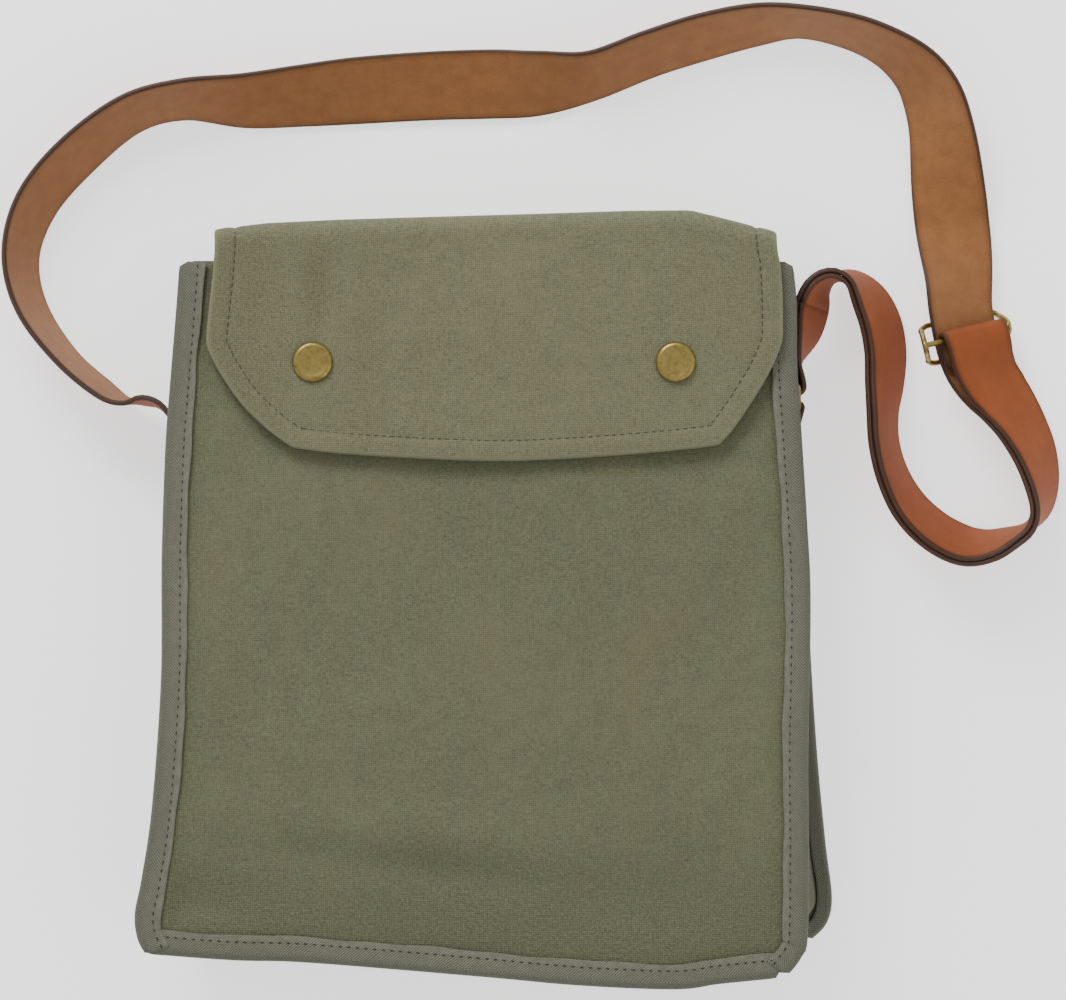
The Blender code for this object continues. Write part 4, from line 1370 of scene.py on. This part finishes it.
@dataclass
class Shell:
    """The bag's body: two panels and three gussets."""

    finishes: Finishes
    canvas: float = CANVAS_T
    gusset: float = 0.0012
    tuck: float = 0.0032
    wall: float = 0.0075
    panel_rows: int = 130
    gusset_rows: int = 90
    gusset_knots: int = 31
    flange: float = 0.0067
    calm_run: float = 0.02
    fold_depth: float = 0.008
    sag_depth: float = 0.007
    dents: Sequence[tuple[float, float, int]] = ((0.0013, 0.075, 5), (0.0006, 0.03, 6))
    corner_dent: Spot = Spot(-0.122, -0.128, 0.022, 0.016, 0.0030)
    ripples: Sequence[tuple[float, int, float]] = ((0.0011, 3, 45), (0.0006, 7, 120))

    def edges(self, seam: Seam, inset: float, rows: int, columns: int) -> Array:
        """A patch of points inside a seam's line, from the mouth down to the bottom."""
        runs = [run + inward(run) * inset for run in seam.runs()]
        corners = [(before[-1] + after[0]) / 2 for before, after in zip(runs, runs[1:])]
        left = even_path(np.vstack([runs[0][:-1], corners[:1]]), rows)
        bottom = even_path(np.vstack([corners[:1], runs[1][1:-1], corners[1:]]), columns)
        right = even_path(np.vstack([corners[1:], runs[2][1:]])[::-1], rows)
        top = np.linspace(left[0], right[0], columns)
        return coons(left, right, top, bottom)

    def panel(self, name: str, seam: Seam, height: Callable[[Array, Array, Array], Array],
              replaced: str) -> None:
        """Build one panel.

        Args:
            name: the piece's name.
            seam: its bound seam.
            height: gives z from x, y and the distance in from the seam.
            replaced: the CAD node that it stands for.
        """
        rows = columns = self.panel_rows
        flat = self.edges(seam, self.tuck, rows, columns)
        x, y = flat[..., 0], flat[..., 1]
        line = np.vstack(seam.runs())
        away = np.min(np.hypot(x[..., None] - line[:, 0], y[..., None] - line[:, 1]), axis=2)
        z = height(x, y, away)
        middle = np.stack([x, y, z], axis=2)
        normals = grid_normals(middle)
        if normals[rows // 2, columns // 2, 2] < 0:
            normals = -normals
        half = np.full((rows, columns), self.canvas / 2)
        obj = soft_sheet(name, middle, normals, half, flat)
        # Painted shade: a dark band beside the tape, and darker towards the bottom where the light
        # falls off.
        near = np.exp(-((away - 0.0108) / 0.005) ** 2) * 0.5
        near = np.clip(near + 0.70 * ease((-0.085 - y) / 0.045), 0, 1)
        sheet_mask(obj, "stain_and_shade_mask", near)
        face_out(obj)
        dress(obj, Body.BAG, [self.finishes.canvas])
        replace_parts(obj, replaced)

    def front_height(self, x: Array, y: Array, away: Array) -> Array:
        """The front panel's surface: held flat in its tape, soft and dented inside."""
        inside = ease((away - 0.009) / 0.030) * (1 - ease((y - 0.098) / 0.018))
        z = FRONT_Z + inside * swells(x, y, self.dents)
        droop = (y - BOTTOM_CREASE) + 0.12 * (x + 0.02)
        crease = np.exp(-(droop / 0.008) ** 2) - 0.8 * np.exp(-((droop - 0.016) / 0.010) ** 2)
        z = z - 0.0022 * crease * np.exp(-((x + 0.025) / 0.06) ** 2) * ease(away / 0.02)
        z = z - self.corner_dent.at(x, y) * ease((away - 0.010) / 0.012)
        under = ease((y - 0.040) / 0.02)
        return np.minimum(z - under * 0.0006, FRONT_Z + 0.0034)

    def back_height(self, x: Array, y: Array, away: Array) -> Array:
        """The back panel's surface: up in its tape, down on the floor inside."""
        low = self.canvas / 2 + 0.0001
        return BACK_EDGE_Z + (low - BACK_EDGE_Z) * ease((away - 0.0115) / 0.030)

    def mitred(self, line: Array, start: Point | None, end: Point | None) -> Array:
        """Steps into a seam line that lean to the corner's mitre at its ends.

        Args:
            line: the seam's outer line.
            start: the mitre's step at its first corner, or None at a free end.
            end: the mitre's step at its last corner, or None at a free end.
        """
        into = inward(line)
        gone = distances(line)
        for other, away in ((start, gone), (end, gone[-1] - gone)):
            if other is not None:
                near = np.clip(1 - away / (3 * self.wall), 0, 1)
                into = into * (1 - near)[:, None] + np.outer(near, other)
        return into

    def wall_strip(self, name: str, front: Array, back: Array, depth: Array,
                   body_node: str, start: Point | None, end: Point | None) -> None:
        """Build one gusset between two seam lines.

        Args:
            name: the piece's name.
            front: points of the front seam's outer line.
            back: the facing points of the back seam's outer line.
            depth: how far the wall folds in at each point.
            body_node: the CAD node that it stands for.
            start: the mitre's step at its first corner, or None at a free end.
            end: the mitre's step at its last corner, or None at a free end.
        """
        rows = len(front)
        into_front, into_back = self.mitred(front, start, end), self.mitred(back, start, end)
        share = np.linspace(0, 1, self.gusset_knots)
        middle = np.empty((rows, self.gusset_knots + 4, 3))
        top, low = FRONT_FLANGE_Z, BACK_FLANGE_Z
        along = distances(front)
        calm = np.ones(rows)
        for corner, away in ((start, along), (end, along[-1] - along)):
            if corner is not None:
                calm *= ease(away / self.calm_run)
        crease = np.sin(share * math.pi).clip(0) ** 1.5
        for i in range(rows):
            way = into_front[i] + into_back[i]
            way /= np.linalg.norm(way)
            high_end = front[i] + into_front[i] * self.wall
            low_end = back[i] + into_back[i] * self.wall
            ripple = sum(height * np.sin(share * turns * math.pi + along[i] * rate)
                         for height, turns, rate in self.ripples) * crease
            flat = high_end[None] + (low_end - high_end)[None] * ease(share)[:, None]
            flat = flat + way[None] * (crease * depth[i] + ripple * calm[i])[:, None]
            middle[i, 2:-2, :2] = flat
            for row, reach in ((0, self.tuck), (1, self.flange)):
                middle[i, row, :2] = front[i] + into_front[i] * reach
                middle[i, -1 - row, :2] = back[i] + into_back[i] * reach
        middle[:, :2, 2], middle[:, -2:, 2] = top, low
        middle[:, 2:-2, 2] = top + (low - top) * share
        middle[:, 2, 2], middle[:, -3, 2] = top - 0.0006, low + 0.0006
        normals = grid_normals(middle)
        half = np.full(middle.shape[:2], self.gusset / 2)
        across = np.concatenate([np.zeros((rows, 1)), np.cumsum(np.linalg.norm(
            np.diff(middle, axis=1), axis=2), axis=1)], axis=1)
        uv = np.stack([np.broadcast_to(along[:, None], across.shape), across], axis=2)
        obj = soft_sheet(name, middle, normals, half, uv)
        face_out(obj)
        dress(obj, Body.BAG, [self.finishes.gusset])
        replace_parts(obj, body_node)

    def gussets(self) -> None:
        """Build the left, bottom and right gussets."""
        count = self.gusset_rows
        share = np.linspace(0, 1, count)
        fold = self.fold_depth * ease((share - 0.55) / 0.2) * (1 - ease((share - 0.86) / 0.14))
        sag = self.sag_depth * ease(share / 0.18) * ease((1 - share) / 0.18)
        steps = ((None, (1, 1)), ((1, 1), (-1, 1)), ((-1, 1), None))
        for side, depth, front, back, (start, end) in zip(
                ("left", "bottom", "right"), (fold, sag, fold[::-1]),
                FRONT_SEAM.sides(count), BACK_SEAM.sides(count), steps):
            self.wall_strip(f"{side}_gusset_cloth", front, back, depth, f"{side}_gusset",
                            start, end)

    def build(self) -> None:
        """Build the body."""
        self.panel("front_canvas", FRONT_SEAM, self.front_height, "front_panel")
        self.panel("back_canvas", BACK_SEAM, self.back_height, "back_panel")
        self.gussets()


# ---- the flap --------------------------------------------------------------------------------
@dataclass
class Flap:
    """The flap: two layers of canvas turned in at the edge and sewn all round."""

    finishes: Finishes
    thick: float = 0.0024
    edge: float = 0.0016
    stitch_inset: float = 0.0086
    groove: float = 0.0005
    pitch: float = 0.0033
    straight_y: float = 0.148
    cloth_width: float = 0.239
    stitch_top: float = 0.158
    stitch_points: int = 900
    dents: Sequence[tuple[float, float, int]] = ((0.0012, 0.07, 11), (0.0005, 0.026, 12))
    stains: Sequence[Spot] = (Spot(-0.071, 0.128, 0.006, 0.022, 0.8),
                              Spot(-0.050, 0.100, 0.009, 0.030, 0.5))
    level: float = field(default_factory=lambda: (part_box("flap_outer")[1][2]
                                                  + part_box("flap_lining")[0][2]) / 2)
    left: Sequence[Point] = ((-79.4, 61.0), (-82.5, 63.0), (-90, 68.6), (-100, 78.3),
                             (-108.6, 90.4), (-113.6, 100), (-115.0, 104.5), (-114.6, 112),
                             (-113.0, 128), (-112.0, 142), (-111.6, 152), (-112.5, 170),
                             (-113.0, 190))
    right: Sequence[Point] = ((97.5, 61.8), (99.6, 63.6), (105, 70.2), (111.5, 79.8),
                              (118.2, 91), (122.6, 100.5), (124.2, 106), (124.4, 112),
                              (124.2, 126), (123.4, 142), (122.0, 152), (121.8, 170),
                              (122.0, 190))
    end: Sequence[Point] = ((-79.4, 61.0), (-76, 60.3), (-59, 58.3), (-24.8, 56.2), (6.7, 55.2),
                            (37, 56.3), (66, 58.4), (88, 60.5), (94.5, 61.4), (97.5, 61.8))
    fold_line: Sequence[Point] = ((-114, -6.5), (-102, -4.7), (-90, -3.2), (-61, -1.8), (0, 0),
                                  (60, 1.8), (86, 2.0), (104, -2.4), (120, -6.6), (124, -8.5))

    def profile(self) -> Array:
        """(y, z) over the fold and down the bag's back, from where the flap lies straight."""
        rise = self.level
        knots = [(self.straight_y, rise), (0.1515, rise + 0.0001), (0.1548, rise - 0.0012),
                 (0.1563, rise - 0.0042), (0.1561, rise - 0.0085), (0.1530, 0.034),
                 (0.1482, 0.020), (0.1428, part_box("flap_spine")[0][2] + 0.0026)]
        return smooth_path(knots, 16)

    def place(self, across: Array, reach: Array) -> Array:
        """Points in space for flat places on the cloth.

        Args:
            across: x of each place.
            reach: its distance up the flap, over the fold and down the back.

        Returns:
            The points.
        """
        bent = self.profile()
        at = distances(bent) + self.straight_y
        y = np.where(reach <= self.straight_y, reach, np.interp(reach, at, bent[:, 0]))
        z = np.where(reach <= self.straight_y, self.level, np.interp(reach, at, bent[:, 1]))
        line = np.array(self.fold_line) * MM
        shift = np.interp(across, line[:, 0], line[:, 1])
        near = ease((reach - 0.120) / 0.035) * (1 - ease((reach - 0.165) / 0.035))
        return np.stack([across, y + shift * near, z], axis=-1)

    def shares(self, total: float, both: bool) -> Array:
        """Places across the cloth, close together at its sewn edges."""
        near = np.array([0, 0.18, 0.45, 0.8, 1.2, 1.7, 2.4, 3.4, 4.6, 5.8, 6.8, 7.5, 8.0, 8.3,
                         8.6, 8.9, 9.2, 9.7, 10.5, 11.8, 13.5]) * MM
        hem = 0.0160
        inner = np.arange(hem, total - (hem if both else 0.0), 0.0026)
        ends = (total - near)[::-1] if both else np.array([total])
        return np.concatenate([near, inner, ends]) / total

    def outline(self) -> tuple[Array, Array, Array]:
        """The flat left, right and end edges as dense lines."""
        top = (self.straight_y + path_length(self.profile())) / MM
        left = list(self.left) + [(self.left[-1][0], top)]
        right = list(self.right) + [(self.right[-1][0], top)]
        return (smooth_path(left, 24) * MM, smooth_path(right, 24) * MM,
                smooth_path(self.end, 24) * MM)

    def flat(self) -> Array:
        """The flap's cloth as a flat patch of points."""
        left, right, end = self.outline()
        up = self.shares(path_length(left), False)
        wide = self.shares(0.236, True)

        def along(line: Array, shares: Array) -> Array:
            """Points at shares of a line's length."""
            return read_path(line, shares * distances(line)[-1])

        top = np.column_stack([left[-1, 0] + wide * (right[-1, 0] - left[-1, 0]),
                               np.full(len(wide), left[-1, 1])])
        return coons(along(left, up), along(right, up), along(end, wide), top, up, wide)

    def inset_of(self, flat: Array) -> Array:
        """How far each flat place is from the sewn edge."""
        best = np.full(flat.shape[:2], 1.0)
        for line in self.outline():
            for start, stop in zip(line, line[1:]):
                run = stop - start
                t = np.clip(((flat - start) @ run) / (run @ run), 0, 1)
                gap = np.linalg.norm(flat - start - t[..., None] * run, axis=2)
                best = np.minimum(best, gap)
        return best

    def build(self) -> None:
        """Build the cloth and its stitches."""
        flat = self.flat()
        inset = self.inset_of(flat)
        x, reach = flat[..., 0], flat[..., 1]
        middle = self.place(x, reach)
        normals = grid_normals(middle)
        if normals[5, normals.shape[1] // 2, 2] < 0:
            normals = -normals
        round_edge = np.sqrt(np.clip(1 - (1 - np.clip(inset / self.edge, 0, 1)) ** 2, 0, 1))
        half = self.thick / 2 * round_edge
        welt = np.exp(-((inset - 0.0045) / 0.0032) ** 2) * 0.00028
        trench = np.exp(-((inset - self.stitch_inset) / 0.0011) ** 2) * self.groove
        half = half + np.where(half > 0, welt - trench, 0)
        soft = ease((inset - 0.004) / 0.03) * ease((0.150 - reach) / 0.02)
        middle = middle + normals * (self.sway(x, reach) * soft)[..., None]
        cloth = soft_sheet("flap_cloth", middle, normals, half, flat)
        sheet_mask(cloth, "rim", np.exp(-((inset - 0.0006) / 0.0009) ** 2))
        stain_and_shade = sum(spot.at(x, reach) for spot in self.stains)
        stain_and_shade += 0.60 * ease((-0.070 - x) / 0.03) + 0.50 * ease((0.055 - reach) / 0.04)
        sheet_mask(cloth, "stain_and_shade_mask", np.clip(stain_and_shade, 0, 1))
        paint(cloth, [self.finishes.flap, self.finishes.canvas])
        index = np.tile([0, 1], len(cloth.data.polygons) // 2).astype(np.int32)
        cloth.data.polygons.foreach_set("material_index", index)
        face_out(cloth)
        self.bend(cloth)
        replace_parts(cloth, "flap_outer", "flap_lining", "flap_spine")
        self.sew(flat)
        LOG.info("flap: %d faces", len(cloth.data.polygons))

    def sway(self, x: Array, reach: Array) -> Array:
        """The flap's own soft unevenness, with one shallow crease beside the left snap."""
        height = swells(x, reach, self.dents)
        crease = np.exp(-((x + 0.066 + 0.1 * (reach - 0.13)) / 0.005) ** 2)
        return height - 0.0020 * crease * ease((reach - 0.100) / 0.02)

    def bend(self, obj: bpy.types.Object) -> None:
        """Bake a piece's place into its mesh."""
        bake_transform(obj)

    def sew(self, flat: Array) -> None:
        """Sew the flap all round, a little in from its edge."""
        left, right, end = self.outline()
        up = left[left[:, 1] < self.stitch_top][::-1]
        down = right[right[:, 1] < self.stitch_top]
        line = even_path(np.vstack([up, end[1:-1], down]), self.stitch_points)
        line = line + inward(line) * self.stitch_inset
        points = self.place(line[:, 0], line[:, 1])
        soft = ease(0.0046 / 0.03) * ease((0.150 - line[:, 1]) / 0.02)
        sway = self.sway(line[:, 0], line[:, 1]) * soft
        up_way = np.tile([0.0, 0.0, 1.0], (len(points), 1))
        points[:, 2] += sway + self.thick / 2 - self.groove + 0.00012
        verts, faces = stitches("flap seam", points, up_way, self.pitch,
                                (0.0023, 0.0006, 0.0005))
        thread = make_mesh("flap_stitches", verts, faces, verts[:, :2])
        thread.data.materials.append(self.finishes.flap_thread)
        self.bend(thread)


# ---- metal -----------------------------------------------------------------------------------
@dataclass
class Snaps:
    """The press snaps: turned caps on the flap, and the hidden halves' brass."""

    finishes: Finishes
    rim: float = 0.00153
    depth: float = 0.0026

    def cap(self, side: str) -> None:
        """Turn one cap: a flat disc with a rolled rim."""
        low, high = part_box(f"{side}_cap")
        x, y = (low[0] + high[0]) / 2, (low[1] + high[1]) / 2
        radius, top = (high[0] - low[0]) / 2, high[2]
        seat = top - self.depth
        profile = [(0.0, top - 0.0004), (radius * 0.45, top - 0.0004),
                   (radius * 0.70, top - 0.00025), (radius * 0.80, top)]
        for angle in np.linspace(80, 0, 7):
            turn = math.radians(angle)
            profile.append((radius - self.rim + self.rim * math.cos(turn),
                            top - 0.0017 + 0.0016 * math.sin(turn)))
        profile += [(radius - 0.0002, seat), (radius * 0.6, seat), (0.0, seat)]
        bpy.ops.mesh.primitive_circle_add(vertices=3, location=(x, y, 0))
        disc = bpy.context.active_object
        disc.name = f"{side}_snap_cap"
        bpy.ops.object.transform_apply(location=True, rotation=True, scale=True)
        mesh = bpy.data.meshes.new(disc.name)
        mesh.from_pydata([(x + r, y, z) for r, z in profile],
                         [(i, i + 1) for i in range(len(profile) - 1)], [])
        disc.data = mesh
        select_only(disc)
        bpy.ops.object.mode_set(mode="EDIT")
        bpy.ops.mesh.select_all(action="SELECT")
        bpy.ops.mesh.spin(steps=64, angle=2 * math.pi, center=(x, y, 0), axis=(0, 0, 1))
        bpy.ops.mesh.select_all(action="SELECT")
        bpy.ops.mesh.remove_doubles(threshold=0.00002)
        bpy.ops.mesh.normals_make_consistent(inside=False)
        bpy.ops.object.mode_set(mode="OBJECT")
        bpy.ops.object.shade_smooth_by_angle(angle=math.radians(50))
        dress(disc, Body.FLAP, [self.finishes.brass])
        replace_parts(disc, f"{side}_cap")

    def build(self) -> None:
        """Build both caps and colour the hidden halves."""
        for side in ("left", "right"):
            self.cap(side)
            for part in ("socket", "stud", "stud_backing"):
                paint(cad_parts[f"{side}_{part}"], [self.finishes.brass])


@dataclass
class Hardware:
    """The side ring, its leather tab, every rivet and the mouth's hem."""

    finishes: Finishes
    ring_wire: float = RING_WIRE
    ring_corner: float = 0.0025
    tab_thickness: float = 0.0018
    head_radius: float = 0.0040
    head: float = 0.0012
    tail: float = 0.0008
    stem: float = 0.0014
    gap: float = 0.0003

    def ring(self) -> None:
        """Bend the ring: a rounded rectangle standing on edge."""
        low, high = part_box("strap_ring")
        x = (low[0] + high[0]) / 2
        corner, inset = self.ring_corner, self.ring_wire + self.ring_corner
        middles = [(high[1] - inset, high[2] - inset, 0), (low[1] + inset, high[2] - inset, 90),
                   (low[1] + inset, low[2] + inset, 180), (high[1] - inset, low[2] + inset, 270)]
        points = []
        for y, z, start in middles:
            for turn in np.radians(np.linspace(start, start + 90, 9)):
                points.append((x, y + corner * math.cos(turn), z + corner * math.sin(turn)))
        ring = wire("side_ring", points, self.ring_wire, True)
        dress(ring, Body.RING, [self.finishes.brass])
        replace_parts(ring, "strap_ring")

    def tab(self) -> None:
        """Fold the leather tab over the ring's lower bar."""
        low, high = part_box("ring_tab")
        ring_low, ring_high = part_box("strap_ring")
        bar_x, bar_y = (ring_low[0] + ring_high[0]) / 2, ring_low[1] + self.ring_wire
        radius = self.ring_wire + self.gap + self.tab_thickness / 2
        inner = low[0] + self.tab_thickness / 2
        outer = inner + self.tab_thickness + self.gap
        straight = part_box("tab_rivet_2")[1][1] + 0.0002
        line = [(inner, y) for y in np.linspace(low[1], straight, 9)]
        line += [(bar_x + radius * math.cos(turn), bar_y + radius * math.sin(turn))
                 for turn in np.radians(np.linspace(180, 0, 15))]
        line += [(outer, y) for y in np.linspace(straight, low[1], 9)]
        path = np.array([(x, y, (low[2] + high[2]) / 2) for x, y in line])
        ahead = np.gradient(path, axis=0)
        ahead /= np.linalg.norm(ahead, axis=1)[:, None]
        up = np.array([0.0, 0.0, 1.0])
        rows = [(centre, up, np.cross(up, way)) for centre, way in zip(path, ahead)]
        strip = Belt("side_tab", rows, width=float(high[2] - low[2]),
                     thickness=self.tab_thickness)
        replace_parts(strip.build(Body.BAG, self.finishes.leather), "ring_tab")

    def rivet(self, node: str, outward: int) -> None:
        """Set one rivet: a domed head outside, its stem, and a flat tail inside.

        Args:
            node: the CAD rivet that it stands for.
            outward: 1 where the head faces +X, -1 where it faces -X.
        """
        low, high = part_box(node)
        y, z = (low[1] + high[1]) / 2, (low[2] + high[2]) / 2
        face, back = (high[0], low[0]) if outward > 0 else (low[0], high[0])
        parts = [(face - outward * self.head / 2, self.head_radius, self.head),
                 ((face + back) / 2, self.stem, abs(face - back) - self.head),
                 (back + outward * self.tail / 2, self.head_radius, self.tail)]
        made = []
        for x, radius, depth in parts:
            bpy.ops.mesh.primitive_cylinder_add(vertices=40, radius=radius, depth=depth,
                                                location=(x, y, z),
                                                rotation=(0, math.pi / 2, 0))
            piece = bpy.context.active_object
            bevel = piece.modifiers.new("edge", "BEVEL")
            bevel.width = depth * 0.4 if radius > self.stem else 0.0001
            bevel.segments = 4
            bevel.limit_method = "ANGLE"
            apply_all(piece)
            made.append(piece)
        bpy.ops.object.select_all(action="DESELECT")
        for piece in made:
            piece.select_set(True)
        bpy.context.view_layer.objects.active = made[0]
        bpy.ops.object.join()
        rivet = bpy.context.active_object
        rivet.name = f"{node}_brass"
        bpy.ops.object.shade_smooth_by_angle(angle=math.radians(40))
        dress(rivet, Body.BAG, [self.finishes.brass])
        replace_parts(rivet, node)

    def build(self) -> None:
        """Build the ring, the tab and the rivets, and dye the hidden hem."""
        self.ring()
        self.tab()
        for number in (1, 2):
            self.rivet(f"strap_rivet_{number}", -1)
            self.rivet(f"tab_rivet_{number}", 1)
        paint(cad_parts["mouth_hem"], [self.finishes.gusset])


def main() -> None:
    """Build every piece of the bag, the floor, the light and the camera."""
    logging.basicConfig(level=logging.INFO, format="%(message)s")
    finishes = Finishes()
    Studio().build()
    StrapWork(finishes).build()
    Shell(finishes).build()
    Binding(FRONT_SEAM, "front", 1).build(finishes)
    Binding(BACK_SEAM, "back", -1).build(finishes)
    Flap(finishes).build()
    Snaps(finishes).build()
    Hardware(finishes).build()


if __name__ == "__main__":
    main()
